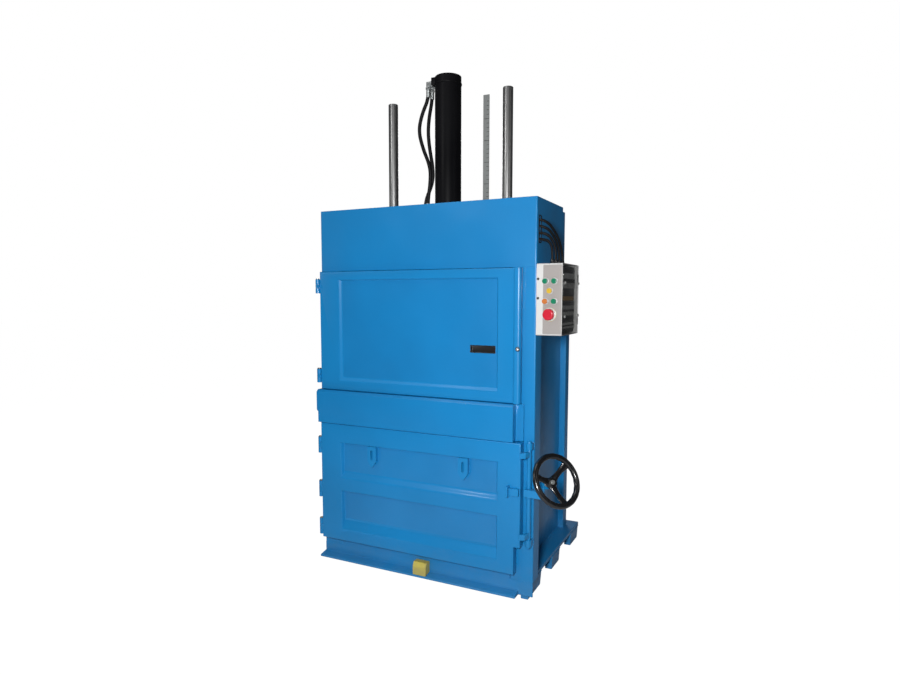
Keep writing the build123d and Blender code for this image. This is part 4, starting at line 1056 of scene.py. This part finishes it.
@dataclass
class Doors:
    """The feed door and the bale door with their hinges and hooks."""

    hinge_x: float = -0.694
    hinge_y: float = -0.559
    front: float = -0.525
    knuckle: float = 0.014
    lower_hinges: tuple[float, ...] = (0.217, 0.458, 0.738)
    upper_hinges: tuple[float, ...] = (1.172, 1.720)
    lower_hinge_height: float = 0.100
    upper_hinge_height: float = 0.084
    leaf_height: float = 0.032
    lower_face: float = -0.577
    upper_face: float = -0.561
    lower_panel: float = -0.555
    upper_panel: float = -0.550
    lower_window_x: Span = (-0.530, 0.503)
    lower_windows: tuple[Span, ...] = ((0.215, 0.470), (0.545, 0.770))
    upper_window: tuple[float, ...] = (-0.546, 0.494, 1.143, 1.762)
    hook_xs: Span = (-0.303, 0.297)
    hook_half: float = 0.030
    hook_span: Span = (0.681, 0.767)
    catch: Point = (0.608, -0.569, 1.383)
    hinge_side: float = -0.676
    upper_roll: tuple[float, ...] = (0.030, 0.012, 0.032, 0.012)
    lower_rolls: tuple[tuple[float, ...], ...] = (
        (0.014, 0.014, 0.080, 0.003), (0.014, 0.014, 0.046, 0.003)
    )
    face_gap: float = 0.0004
    leaf_bead: float = 0.003
    hook_bead: float = 0.0025
    knuckle_bead: float = 0.0022
    inset: float = 0.001

    def build(self, press: Press) -> None:
        """Dress the doors and add the catch, the panels' rolled edges and the welds.

        Args:
            press: The loaded model.
        """
        press.round_off(BLUE, 0.003, "lower_door_frame", "upper_door_frame")
        press.round_off(BLUE, 0.0015, "hinge_leaves", "strap_hooks")
        press.round_off(BLUE, 0.002, "lock_lug")
        press.round_off(BLUE_PANEL, 0.001, "lower_door_panels", "upper_door_panel")
        press.round_off(BLACK_PLASTIC, 0.0015, "upper_door_grip")
        press.round_off(STEEL, 0.0015, "hinge_pins")
        self.door_catch()
        self.panel_seams()
        self.hinge_welds()

    def door_catch(self) -> None:
        """The catch on the closing edge: a round bright button on a dark collar."""
        collar, button = Surface(), Surface()
        ring = [[0.0, 0.0], [0.0125, 0.0], [0.0125, 0.0025], [0.0115, 0.0035], [0.0, 0.0035]]
        dome = [
            [0.0, 0.0035], [0.009, 0.0035], [0.009, 0.007], [0.0078, 0.0095], [0.005, 0.011],
            [0.0, 0.0115],
        ]
        collar.turn(ring, self.catch, OUT, 28)
        button.turn(dome, self.catch, OUT, 28)
        collar.build("catch_collar", Body.UPPER_DOOR, BLACK_PLASTIC)
        button.build("catch_button", Body.UPPER_DOOR, BRIGHT)

    @staticmethod
    def rolled_edge(
        window: tuple[float, ...], widths: tuple[float, ...], face: float, panel: float
    ) -> Array:
        """Grid of a pressed panel's edge: it falls from face to panel as 3t^2 - 2t^3 over each width.

        Args:
            window: Left, right, low and high edges.
            widths: How far the fall reaches in from each of them.
            face: Y of the frame's face.
            panel: Y of the panel.

        Returns:
            A grid that closes both ways.
        """
        at = np.append(np.linspace(0.0, 1.0, 17), 0.0)
        inward = np.array([[1], [-1], [1], [-1]])
        edges = np.array(window)[:, None] + inward * (np.array(widths)[:, None] * at)
        left, right, low, high = edges
        y = face + (panel - face) * (3 * at**2 - 2 * at**3)
        y[-1] = panel
        rim = [(left, low), (right, low), (right, high), (left, high)]
        return np.stack([np.stack([x, y, z], -1) for x, z in rim], 1)

    def panel_seams(self) -> None:
        """Rolled edges round each pressed panel, and welds on the hooks."""
        upper, lower = Surface(), Surface()
        face = self.upper_face + self.face_gap
        upper.torus(self.rolled_edge(self.upper_window, self.upper_roll, face, self.upper_panel))
        upper.build("upper_panel_roll", Body.UPPER_DOOR, BLUE)
        face, y = self.lower_face + self.face_gap, self.lower_panel
        for span, widths in zip(self.lower_windows, self.lower_rolls):
            lower.torus(self.rolled_edge((*self.lower_window_x, *span), widths, face, y))
        low, high = self.hook_span
        for middle in self.hook_xs:
            for x in (middle - self.hook_half, middle + self.hook_half):
                lower.weld((x, y, low), (x, y, high), self.hook_bead)
        lower.build("lower_panel_roll", Body.LOWER_DOOR, BLUE)

    def hinge_welds(self) -> None:
        """Beads at each post leaf and each door knuckle."""
        fixed = Surface()
        moving = {Body.LOWER_DOOR: Surface(), Body.UPPER_DOOR: Surface()}
        rows = [(level, self.lower_hinge_height, Body.LOWER_DOOR) for level in self.lower_hinges]
        rows += [(level, self.upper_hinge_height, Body.UPPER_DOOR) for level in self.upper_hinges]
        x, side = self.hinge_x + self.knuckle, self.hinge_side
        near = self.hinge_y - self.knuckle + self.inset
        far = self.hinge_y + self.knuckle - self.inset
        for level, height, door in rows:
            for start in (level - height / 2, level + height / 2 - self.leaf_height):
                end = start + self.leaf_height
                fixed.weld((x, self.front, start), (x, self.front, end), self.leaf_bead)
            tall = height / 2 - self.leaf_height - self.inset
            for y in (near, far):
                start, end = (side, y, level - tall), (side, y, level + tall)
                moving[door].weld(start, end, self.knuckle_bead)
        fixed.build("hinge_leaf_welds", Body.FRAME, BLUE)
        moving[Body.LOWER_DOOR].build("lower_knuckle_welds", Body.LOWER_DOOR, BLUE)
        moving[Body.UPPER_DOOR].build("upper_knuckle_welds", Body.UPPER_DOOR, BLUE)


@dataclass
class Lock:
    """The door lock with its clamp screw and hand wheel."""

    centre: Point = (0.836, -0.595, 0.713)
    turn: float = 57.0
    lift: float = 27.0
    radius: float = 0.130
    rim: float = 0.016
    waves: int = 20
    dish: float = 0.045
    hub_radius: float = 0.029
    hub_half: float = 0.017
    first_spoke: float = 158.0
    spokes: int = 3
    spoke_root: float = 0.016
    screw_radius: float = 0.011
    screw_tip: float = -0.096
    thread_pitch: float = 0.006
    thread_depth: float = 0.0019
    nut_sink: float = 0.004
    nut_size: float = 0.012
    shaft_x: float = 0.674
    boss: float = 0.018
    bearing_levels: Span = (0.340, 0.868)
    bearing_half: float = 0.018
    bearing_bead: float = 0.003
    post_face: float = -0.525

    def axis(self) -> Array:
        """The wheel's axis: a turn to the right of straight out, then a lift.

        Returns:
            The unit direction out of the wheel's face.
        """
        turn, lift = math.radians(self.turn), math.radians(self.lift)
        flat = math.cos(lift)
        return np.array([math.sin(turn) * flat, -math.cos(turn) * flat, math.sin(lift)])

    def build(self, press: Press) -> None:
        """Dress the lock and make the hand wheel, the screw and the welds.

        Args:
            press: The loaded model.
        """
        press.round_off(BLUE, 0.002, "lock_bearings", "lock_shaft", "lock_lever")
        press.round_off(STEEL, 0.001, "screw_pad")
        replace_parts(self.wheel(), "hand_wheel")
        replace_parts(self.screw(), "clamp_screw")
        self.nut_and_welds()

    def wheel(self) -> bpy.types.Object:
        """The wheel: a ring with finger waves, dished spokes that flare at both ends, a turned hub.

        Returns:
            The wheel.
        """
        axis = self.axis()
        first = np.cross(UP, axis)
        first /= np.linalg.norm(first)
        second = np.cross(axis, first)
        centre = np.array(self.centre)
        shape = Surface()
        # Ring: radius R + r cos v outward and r sin v along the axis; r dips in finger waves on
        # the ring's back.
        u, v = np.meshgrid(around(160), around(20), indexing="ij")
        thick = self.rim * (1 - 0.05 * (1 - np.sin(v)) / 2 * (1 + np.cos(self.waves * u)))
        out = circle(u, first, second)
        reach, rise = self.radius + thick * np.cos(v), thick * np.sin(v)
        shape.torus(centre + reach[..., None] * out + rise[..., None] * axis)
        hub = centre - axis * self.dish
        half, wide = self.hub_half, self.hub_radius
        profile = [
            [0.0, -half], [wide - 0.006, -half], [wide, -half + 0.006], [wide, half - 0.007],
            [wide - 0.004, half - 0.001], [0.016, half], [0.0145, half - 0.004], [0.0, half - 0.004],
        ]
        shape.turn(profile, hub, axis, 48)
        # Spokes: an oval carried from hub to ring, its middle line bowing by a half sine and its
        # width growing towards both ends.
        at, ring = np.linspace(0.0, 1.0, 18), around(18)
        reach = self.spoke_root + at * (self.radius - self.spoke_root)
        rise = self.dish * (at - 0.16 * np.sin(math.pi * at))
        broad = 0.0155 + 0.012 * (at - 0.45) ** 2 / 0.3
        tall = 0.0088 - 0.0012 * np.sin(math.pi * at)
        for number in range(self.spokes):
            angle = math.radians(self.first_spoke + 360 / self.spokes * number)
            outward = math.cos(angle) * first + math.sin(angle) * second
            across = np.cross(axis, outward)
            line = hub + reach[:, None] * outward + rise[:, None] * axis
            shape.loft(
                line[:, None, :]
                + (broad[:, None] * np.cos(ring))[..., None] * across
                + (tall[:, None] * np.sin(ring))[..., None] * axis
            )
        return shape.build("hand_wheel_moulded", Body.WHEEL, WHEEL_BLACK)

    def screw(self) -> bpy.types.Object:
        """The clamp screw: radius falls from crest to root as a triangle wave of angle and length.

        Returns:
            The screw.
        """
        first, second, axis = frame_of(self.axis())
        hub = np.array(self.centre) - axis * self.dish
        length = -self.screw_tip - self.hub_half
        rows = int(length / self.thread_pitch * 12)
        along, angle = np.meshgrid(np.linspace(0, length, rows), around(28), indexing="ij")
        phase = (along / self.thread_pitch - angle / (2 * math.pi)) % 1.0
        depth = self.thread_depth * np.clip(2 * np.abs(phase - 0.5) * 1.3 - 0.15, 0.0, 1.0)
        radius = self.screw_radius - depth
        thread = Surface()
        thread.loft(
            hub + (self.screw_tip + along)[..., None] * axis
            + (radius * np.cos(angle))[..., None] * first
            + (radius * np.sin(angle))[..., None] * second
        )
        return thread.build("clamp_screw_thread", Body.WHEEL, STEEL)

    def nut_and_welds(self) -> None:
        """A cap nut in the hub, and beads where the bearings meet the post."""
        axis = self.axis()
        nut, seams = Surface(), Surface()
        seat = np.array(self.centre) - axis * (self.dish - self.hub_half + self.nut_sink)
        nut.bolts([seat], axis, self.nut_size)
        nut.build("hub_nut", Body.WHEEL, ZINC)
        left, right, y = self.shaft_x - self.boss, self.shaft_x + self.boss, self.post_face
        for level in self.bearing_levels:
            low, high = level - self.bearing_half, level + self.bearing_half
            for x in (left, right):
                seams.weld((x, y, low), (x, y, high), self.bearing_bead)
            for z in (low, high):
                seams.weld((left, y, z), (right, y, z), self.bearing_bead)
        seams.build("bearing_welds", Body.FRAME, BLUE)


@dataclass
class Ram:
    """The cylinder, rods, gauge and their bolts."""

    y: float = -0.165
    seat: float = 2.180
    flange: Span = (0.240, 0.300)
    flange_inset: Span = (0.022, 0.024)
    flange_bolt: float = 0.016
    barrel: float = 0.080
    barrel_top: float = 2.929
    barrel_bead: float = 0.005
    bush_x: float = 0.386
    bush_radius: float = 0.046
    rod_radius: float = 0.030
    bush_seat: float = 2.164
    bush_top: float = 2.186
    bush_plate: Span = (0.124, 0.290)
    bush_inset: Span = (0.02, 0.03)
    bush_bolt: float = 0.012
    gauge_x: float = 0.251
    gauge_half: float = 0.019
    gauge_face: float = -0.168
    gauge_span: Span = (2.20, 2.82)
    gauge_step: float = 0.025
    long_mark: float = 0.03
    short_mark: float = 0.016

    def build(self, press: Press) -> None:
        """Dress the ram and add bolts, seals and the gauge's marks.

        Args:
            press: The loaded model.
        """
        press.dress(BLACK, "cylinder_barrel")
        press.round_off(BLACK, 0.002, "cylinder_cap", "cylinder_flange")
        press.dress(CHROME, "guide_rods", "piston_rod")
        press.round_off(GAUGE, 0.0008, "stroke_gauge")
        press.round_off(BLUE, 0.002, "platen")
        self.bolts()
        self.seals()
        self.marks()

    def bolts(self) -> None:
        """Bolts at the corners of the cylinder's flange and of both bush plates."""
        heads = Surface()
        x, y = (size / 2 - inset for size, inset in zip(self.flange, self.flange_inset))
        heads.bolts(corners((0, self.y, self.seat), (x, 0, 0), (0, y, 0)), UP, self.flange_bolt)
        x, y = (size / 2 - inset for size, inset in zip(self.bush_plate, self.bush_inset))
        for side in SIDES:
            middle = (side * self.bush_x, self.y, self.bush_seat)
            heads.bolts(corners(middle, (x, 0, 0), (0, y, 0)), UP, self.bush_bolt)
        heads.build("ram_bolts", Body.FRAME, ZINC)

    def seals(self) -> None:
        """Wiper rings on the bushes, and the ring welds at both ends of the barrel."""
        wipers, rings = Surface(), Surface()
        inner, outer = self.rod_radius + 0.0004, self.bush_radius - 0.006
        profile = [
            [inner, 0.0], [outer, 0.0], [outer, 0.003], [outer - 0.004, 0.006],
            [inner + 0.002, 0.009], [inner, 0.009], [inner, 0.0],
        ]
        for side in SIDES:
            wipers.turn(profile, (side * self.bush_x, self.y, self.bush_top), UP, 40)
        wipers.build("rod_wipers", Body.FRAME, RUBBER)
        # Ring weld: a torus of small radius r about the barrel, r rippling with the angle.
        u, v = np.meshgrid(around(160), around(10), indexing="ij")
        thick = self.barrel_bead * (1 + 0.12 * np.abs(np.sin(30 * u)))
        reach = self.barrel + thick * np.cos(v) * 0.7
        for level in (self.seat, self.barrel_top):
            grid = [reach * np.cos(u), self.y + reach * np.sin(u), level + thick * np.sin(v)]
            rings.torus(np.stack(grid, -1))
        rings.build("barrel_welds", Body.FRAME, BLACK)

    def marks(self) -> None:
        """Cut lines on the gauge, longer at every fifth."""
        lines = Surface()
        for number, level in enumerate(np.arange(*self.gauge_span, self.gauge_step)):
            width = self.short_mark if number % 5 else self.long_mark
            origin = (self.gauge_x + self.gauge_half - width / 2, self.gauge_face, level)
            lines.plate((width, 0.0022, 0.0004, 0.0008, 0.0001), origin, RIGHT, UP, 2)
        lines.build("gauge_marks", Body.PLATEN, BLACK, smooth=False)


@dataclass
class Cord:
    """A hose or cable on one smooth line through its route."""

    name: str
    node: str
    route: Array
    diameter: float
    length: float
    finish: Finish

    def build(self) -> bpy.types.Object:
        """Returns:
            The cord.
        """
        curve = bpy.data.curves.new(self.name, "CURVE")
        curve.dimensions = "3D"
        curve.bevel_depth = self.diameter / 2
        curve.bevel_resolution = 5
        curve.use_fill_caps = True
        line = curve.splines.new("NURBS")
        line.points.add(len(self.route) - 1)
        full = np.column_stack([self.route, np.ones(len(self.route))])
        line.points.foreach_set("co", full.astype(np.float32).ravel())
        line.order_u = 3
        line.use_endpoint_u = True
        line.resolution_u = 12
        piece = bpy.data.objects.new(self.name, curve)
        bpy.context.scene.collection.objects.link(piece)
        curve.materials.append(self.finish.material())
        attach(piece, Body.FRAME.value)
        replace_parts(piece, self.node)
        LOG.info("%s: %d points", self.name, len(self.route))
        return piece


@dataclass
class Hydraulics:
    """Hoses at the cylinder and the power unit behind the body."""

    elbow_x: float = -0.122
    port_face: float = -0.092
    port_z: float = 2.941
    port_ys: Span = (-0.189, -0.141)
    bulkheads: tuple[Span, ...] = ((-0.140, -0.165), (-0.170, -0.145))
    bows: Span = (-0.062, -0.022)
    tucks: Span = (0.014, 0.008)
    top: float = 2.908
    bottom: float = 2.194
    cover_top: float = 2.154
    hose: float = 0.022
    lengths: Span = (0.740, 0.728)
    sleeve: float = 0.042
    sleeve_radius: float = 0.0138
    sleeve_bore: float = 0.0111
    crimps: int = 6
    tank: tuple[float, ...] = (-0.332, 0.332, 0.245, 0.509)
    tank_middle: float = 0.377
    lid_top: float = 0.454
    tank_back: float = 0.497
    drain_level: float = 0.132
    sight: Span = (-0.2, 0.29)
    motor_x: float = 0.110
    motor_radius: float = 0.092
    flange_radius: float = 0.110
    flange_top: float = 0.472
    cowl_top: float = 0.792
    valve_x: float = -0.150
    valve_half: float = 0.075
    valve_top: float = 0.564
    solenoid_level: float = 0.531
    solenoid_length: float = 0.062

    def build(self, press: Press) -> None:
        """Run the hoses and dress the power unit.

        Args:
            press: The loaded model.
        """
        self.hoses()
        self.ferrules()
        self.nuts()
        press.round_off(ZINC, 0.001, "hose_fittings")
        press.round_off(DARK, 0.002, "oil_tank", "motor_cowl")
        press.round_off(MOTOR_GREY, 0.0012, "pump_motor")
        press.round_off(STEEL, 0.002, "valve_block")
        press.round_off(BLACK_PLASTIC, 0.002, "filler_cap")
        press.dress(ZINC, "pressure_pipes")
        self.tank_fittings()
        self.motor_fittings()
        self.valve_fittings()

    def hoses(self) -> None:
        """Each hose drops from its elbow, bows out, tucks in at the barrel and ends in the cover."""
        rows = zip(self.port_ys, self.bulkheads, self.bows, self.tucks, self.lengths)
        for name, (y, (foot_x, foot_y), bow, tuck, length) in zip(("hose_front", "hose_rear"), rows):
            x, top, lean = self.elbow_x, self.top, foot_y - y
            route = np.array([
                [x, y, top],
                [x, y, top - 0.052],
                [x + bow * 0.62, y - 0.010, top - 0.136],
                [x + bow, y - 0.014, top - 0.236],
                [x + bow * 0.55, y - 0.010, top - 0.344],
                [x + tuck, y - 0.004, top - 0.456],
                [x + tuck * 0.6, y + lean * 0.3, top - 0.548],
                [foot_x, foot_y, self.bottom + 0.062],
                [foot_x, foot_y, self.bottom],
            ])
            Cord(name + "_line", name, route, self.hose, length, RUBBER).build()

    def ferrules(self) -> None:
        """Crimped sleeves on the hose ends: a turned sleeve with pressed rings."""
        sleeves = Surface()
        at = np.linspace(0.0, 1.0, 37)
        wave = 0.5 + 0.5 * np.cos(2 * math.pi * self.crimps * at)
        radius = self.sleeve_radius - 0.0009 * wave
        bore, length = [self.sleeve_bore], self.sleeve
        profile = np.column_stack([
            np.concatenate([bore, radius, bore]), np.concatenate([[0.0], at * length, [length]])
        ])
        for y in self.port_ys:
            sleeves.turn(profile, (self.elbow_x, y, self.top), DOWN, 24)
        for x, y in self.bulkheads:
            sleeves.turn(profile, (x, y, self.bottom), UP, 24)
        sleeves.build("hose_sleeves", Body.FRAME, ZINC)

    def nuts(self) -> None:
        """Hexagon nuts where fittings meet the cylinder, the cover and the hoses."""
        rings = Surface()
        nut = np.array([
            [0.0, 0.0], [0.0185, 0.0], [0.02, 0.0015], [0.02, 0.0105], [0.0185, 0.012], [0.0, 0.012]
        ])
        small, large = nut * np.array([0.88, 1.1]), nut * 1.05
        for y in self.port_ys:
            rings.turn(nut, (self.port_face, y, self.port_z), LEFT, 6)
            rings.turn(small, (self.elbow_x, y, self.top + 0.002), UP, 6, 0.3)
        for x, y in self.bulkheads:
            rings.turn(large, (x, y, self.cover_top), UP, 6)
            rings.turn(small, (x, y, self.bottom - 0.014), UP, 6, 0.4)
        rings.build("fitting_nuts", Body.FRAME, ZINC)

    def tank_fittings(self) -> None:
        """Lid bolts round the rim, a sight glass and a drain plug on the tank's back."""
        heads, frame, window = Surface(), Surface(), Surface()
        left, right, front, back = self.tank
        rows = (front + 0.012, back - 0.012)
        spots = [(x, y, self.lid_top) for x in np.linspace(left + 0.02, right - 0.02, 6) for y in rows]
        heads.bolts(spots, UP, 0.008)
        plug = np.array([[0.0, 0.0], [0.02, 0.0], [0.02, 0.006], [0.018, 0.008], [0.0, 0.008]])
        drain = (0.0, self.tank_back, self.drain_level)
        heads.turn(plug, drain, BACK, 28)
        heads.turn(plug * np.array([0.62, 2.0]), drain, BACK, 6)
        heads.build("tank_bolts", Body.FRAME, ZINC)
        x, z = self.sight
        frame.plate((0.04, 0.16, 0.008, 0.02, 0.002), (x, self.tank_back, z), LEFT, UP)
        frame.build("sight_frame", Body.FRAME, ZINC)
        window.plate((0.016, 0.11, 0.003, 0.008, 0.001), (x, self.tank_back + 0.0075, z), LEFT, UP)
        window.build("sight_window", Body.FRAME, OIL)

    def motor_fittings(self) -> None:
        """Flange bolts, the cowl's air slots and the terminal box's lid."""
        heads, slots, lid = Surface(), Surface(), Surface()
        angle = np.radians(45 + 90 * np.arange(4))
        ring = self.flange_radius - 0.011
        x, y = self.motor_x + ring * np.cos(angle), self.tank_middle + ring * np.sin(angle)
        heads.bolts(list(np.column_stack([x, y, np.full(4, self.flange_top)])), UP, 0.01)
        # Air slots: five rings of short bars on the cowl's top, in eight sectors.
        cowl = np.array([self.motor_x, self.tank_middle, self.cowl_top])
        for reach in np.linspace(0.022, 0.066, 5):
            for turn in np.arange(8) * math.pi / 4:
                out = np.array([math.cos(turn), math.sin(turn), 0.0])
                across = np.array([-out[1], out[0], 0.0])
                bar = (reach * 0.62, 0.0045, 0.0006, 0.002, 0.0002)
                slots.plate(bar, cowl + reach * out, across, -out, 3)
        front = self.tank_middle - self.motor_radius - 0.030
        level = (self.flange_top + self.cowl_top - 0.07) / 2
        lid.plate((0.092, 0.082, 0.004, 0.006, 0.001), (self.motor_x, front, level), RIGHT, UP)
        spots = corners((self.motor_x, front - 0.004, level), (0.038, 0, 0), (0, 0, 0.033))
        heads.bolts(spots, OUT, 0.005, Head.ROUND)
        heads.build("motor_bolts", Body.FRAME, ZINC)
        slots.build("cowl_slots", Body.FRAME, BLACK_PLASTIC, smooth=False)
        lid.build("terminal_lid", Body.FRAME, DARK)

    def valve_fittings(self) -> None:
        """Solenoid caps and plugs, bolts on the valve's top and nuts on its pipes."""
        caps, heads = Surface(), Surface()
        y, level = self.tank_middle, self.solenoid_level
        end = [[0.0, 0.0], [0.02, 0.0], [0.02, 0.004], [0.012, 0.009], [0.0, 0.009]]
        for side in SIDES:
            tip = self.valve_x + side * (self.valve_half + self.solenoid_length)
            caps.turn(end, (tip, y, level), (side, 0, 0), 28)
            middle = self.valve_x + side * (self.valve_half + self.solenoid_length / 2)
            caps.plate((0.028, 0.028, 0.026, 0.003, 0.001), (middle, y, level + 0.022), RIGHT, BACK)
        caps.build("solenoid_plugs", Body.FRAME, BLACK_PLASTIC)
        reach = self.valve_half - 0.012
        spots = corners((self.valve_x, y, self.valve_top), (reach, 0, 0), (0, 0.033, 0))
        heads.bolts(spots, UP, 0.008, Head.ROUND)
        nut = [[0.0105, 0.0], [0.0155, 0.0], [0.0165, 0.0015], [0.0165, 0.014], [0.0105, 0.017]]
        for x, _ in self.bulkheads:
            heads.turn(nut, (x, y, self.valve_top), UP, 6)
        heads.build("valve_bolts", Body.FRAME, ZINC)


@dataclass
class Cabinet:
    """The control cabinet, its buttons, lid, gear and cables."""

    left: float = 0.692
    right: float = 0.838
    front: float = -0.525
    back: float = -0.230
    bottom: float = 1.456
    top: float = 1.830
    plate_x: float = 0.7775
    plate_size: tuple[float, ...] = (0.099, 0.358, 0.0012, 0.004, 0.0004)
    stop: Span = (0.765, 1.566)
    gland_ys: tuple[float, ...] = (0.034, 0.096, 0.158, 0.220)
    gland_foot: float = 0.008
    gland_height: float = 0.024
    gland_ribs: int = 24
    port_y: float = -0.478
    port_z: float = 2.011
    port_size: Span = (0.034, 0.140)
    edging: float = 0.003
    pitch: float = 0.034
    lengths: tuple[float, ...] = (0.170, 0.207, 0.265, 0.331)
    cable: float = 0.014
    cover_face: float = 0.815
    cover_inset: float = 0.014
    breaker_rows: tuple[tuple[float, float, int], ...] = (
        (1.742, 0.078, 9), (1.585, 0.052, 6), (1.505, 0.030, 11)
    )
    rails: tuple[Span, ...] = ((1.797, 0.014), (1.672, 0.016), (1.628, 0.010), (1.543, 0.008))
    terminal_band: Span = (1.649, 0.022)

    def build(self, press: Press) -> None:
        """Dress the cabinet, add its plates and screws and run the cables.

        Args:
            press: The loaded model.
        """
        press.round_off(CABINET, 0.002, "cabinet_shell")
        press.dress(SMOKED, "cabinet_lid")
        press.round_off(GEAR, 0.0012, "switch_gear")
        press.round_off(ZINC, 0.0008, "button_collars")
        press.dress(GREEN_CAP, "button_green_left", "button_green_right", "button_green_low")
        press.dress(YELLOW_CAP, "button_yellow")
        press.dress(ORANGE_CAP, "button_orange")
        press.dress(RED_CAP, "button_stop")
        self.plates()
        self.screws()
        self.gear()
        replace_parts(self.glands(), "cable_glands")
        self.cables()
        self.port_edging()

    def plates(self) -> None:
        """The beige button plate and the yellow disc behind the stop button."""
        plate, disc = Surface(), Surface()
        middle = (self.plate_x, self.front, (self.bottom + self.top) / 2)
        plate.plate(self.plate_size, middle, RIGHT, UP)
        plate.build("button_plate", Body.FRAME, BEIGE)
        rim = [[0.0, 0.0], [0.036, 0.0], [0.036, 0.0018], [0.035, 0.0024], [0.0, 0.0024]]
        disc.turn(rim, (self.stop[0], self.front, self.stop[1]), OUT, 48)
        disc.build("stop_backing", Body.FRAME, YELLOW_CAP)

    def screws(self) -> None:
        """Lid screws on the side, and two fixing screws on the front's left edge."""
        lid, front = Surface(), Surface()
        levels = (self.bottom + 0.1, self.top - 0.1)
        rows = (self.front + 0.018, self.back - 0.018)
        lid.bolts([(self.right, y, z) for y in rows for z in levels], RIGHT, 0.008, Head.ROUND)
        lid.build("lid_screws", Body.LID, BRIGHT)
        spots = [(self.left + 0.009, self.front, z) for z in (self.top - 0.08, self.top - 0.18)]
        front.bolts(spots, OUT, 0.0065, Head.ROUND)
        front.build("front_screws", Body.FRAME, BLACK_PLASTIC)

    def gear(self) -> None:
        """The cover behind the lid with breaker rows, dark rails and a brown terminal band."""
        cover, dark, pale, strip = Surface(), Surface(), Surface(), Surface()
        start, end = self.front + self.cover_inset, self.back - self.cover_inset
        middle, face, wide = (start + end) / 2, self.cover_face, end - start
        small = (0.001, 0.0006)
        size = (wide, self.top - self.bottom - 0.024, 0.003, 0.004, 0.0006)
        cover.plate(size, (face - 0.003, middle, (self.bottom + self.top) / 2), BACK, UP)
        cover.build("gear_cover", Body.FRAME, DARK)
        for level, tall, count in self.breaker_rows:
            step = (wide - 0.03) / count
            for y in start + 0.015 + (np.arange(count) + 0.5) * step:
                pale.plate((step * 0.8, tall, 0.005, *small), (face, y, level), BACK, UP, 3)
                lever = (step * 0.42, tall * 0.26, 0.0035, *small)
                dark.plate(lever, (face + 0.005, y, level), BACK, UP, 3)
        for level, tall in self.rails:
            dark.plate((wide - 0.012, tall, 0.004, *small), (face, middle, level), BACK, UP, 3)
        level, tall = self.terminal_band
        strip.plate((wide - 0.05, tall, 0.005, *small), (face, middle, level), BACK, UP, 3)
        pale.build("breakers", Body.FRAME, GEAR)
        dark.build("gear_levers", Body.FRAME, BLACK_PLASTIC)
        strip.build("terminal_band", Body.FRAME, GEAR_BAND)

    def glands(self) -> bpy.types.Object:
        """Cable glands: a hexagon foot and a ribbed dome nut that narrows to the cable.

        Returns:
            The glands.
        """
        shape = Surface()
        middle, low = (self.left + self.right) / 2, self.gland_foot
        foot = [
            [0.0, 0.0], [0.0118, 0.0], [0.012, 0.0008], [0.012, 0.0072], [0.0112, low], [0.0, low]
        ]
        # Dome nut: its radius falls with the cube of the height, with fine ribs round it.
        at, angle = np.linspace(0.0, 1.0, 12), around(96)
        rise = low + at * (self.gland_height - low)
        reach = 0.0108 - 0.0032 * at**3
        rib = 1 - 0.035 * (0.5 + 0.5 * np.cos(self.gland_ribs * angle))
        ring = np.stack([
            reach[:, None] * rib * np.cos(angle), reach[:, None] * rib * np.sin(angle),
            np.broadcast_to(rise[:, None], (len(at), len(angle))),
        ], -1)
        for offset in self.gland_ys:
            place = np.array([middle, self.front + offset, self.top])
            shape.turn(foot, place, UP, 6)
            shape.loft(place + ring)
        return shape.build("cable_gland_nuts", Body.FRAME, BLACK_PLASTIC)

    def cables(self) -> None:
        """Run each cable from the header's port to its gland."""
        middle = (self.left + self.right) / 2
        gland_z = self.top + self.gland_height
        for number, (offset, length) in enumerate(zip(self.gland_ys, self.lengths)):
            start_z = self.port_z + (number - (len(self.gland_ys) - 1) / 2) * self.pitch
            gland_y = self.front + offset
            bend_y = self.port_y * 0.35 + gland_y * 0.65
            bend_z = start_z * 0.5 + gland_z * 0.5 + 0.023
            route = np.array([
                [self.left - 0.020, self.port_y, start_z],
                [self.left + 0.034, self.port_y, start_z - 0.003],
                [middle - 0.009, bend_y, bend_z],
                [middle, gland_y, gland_z + 0.038],
                [middle, gland_y, gland_z],
            ])
            name = f"cable_{number + 1}"
            Cord("control_" + name, name, route, self.cable, length, RUBBER).build()

    def port_edging(self) -> None:
        """Rubber edging: a small circle carried round the port's rounded rectangle."""
        edging = Surface()
        outline = slab(*self.port_size, 0.001, 0.006, 0.0001)[1][:, :2]
        ahead = np.roll(outline, -1, 0) - np.roll(outline, 1, 0)
        side = np.stack([ahead[:, 1], -ahead[:, 0]], -1)
        side /= np.linalg.norm(side, axis=1)[:, None]
        angle = around(8)
        flat = outline[:, None, :] + self.edging * np.cos(angle)[None, :, None] * side[:, None, :]
        depth = np.broadcast_to(self.edging * np.sin(angle), flat.shape[:2])
        grid = [self.left + depth, self.port_y + flat[..., 0], self.port_z + flat[..., 1]]
        edging.torus(np.stack(grid, -1))
        edging.build("port_edging", Body.FRAME, RUBBER)


def main() -> None:
    """Build the studio and dress the press, one sub-assembly after the other."""
    logging.basicConfig(level=logging.INFO, format="%(name)s %(message)s")
    for item in list(bpy.data.objects):
        bpy.data.objects.remove(item)
    press = Press()
    Studio().build()
    for part in (WeldedBody(), Doors(), Lock(), Ram(), Hydraulics(), Cabinet()):
        part.build(press)
    press.save_sizes()


if __name__ == "__main__":
    main()
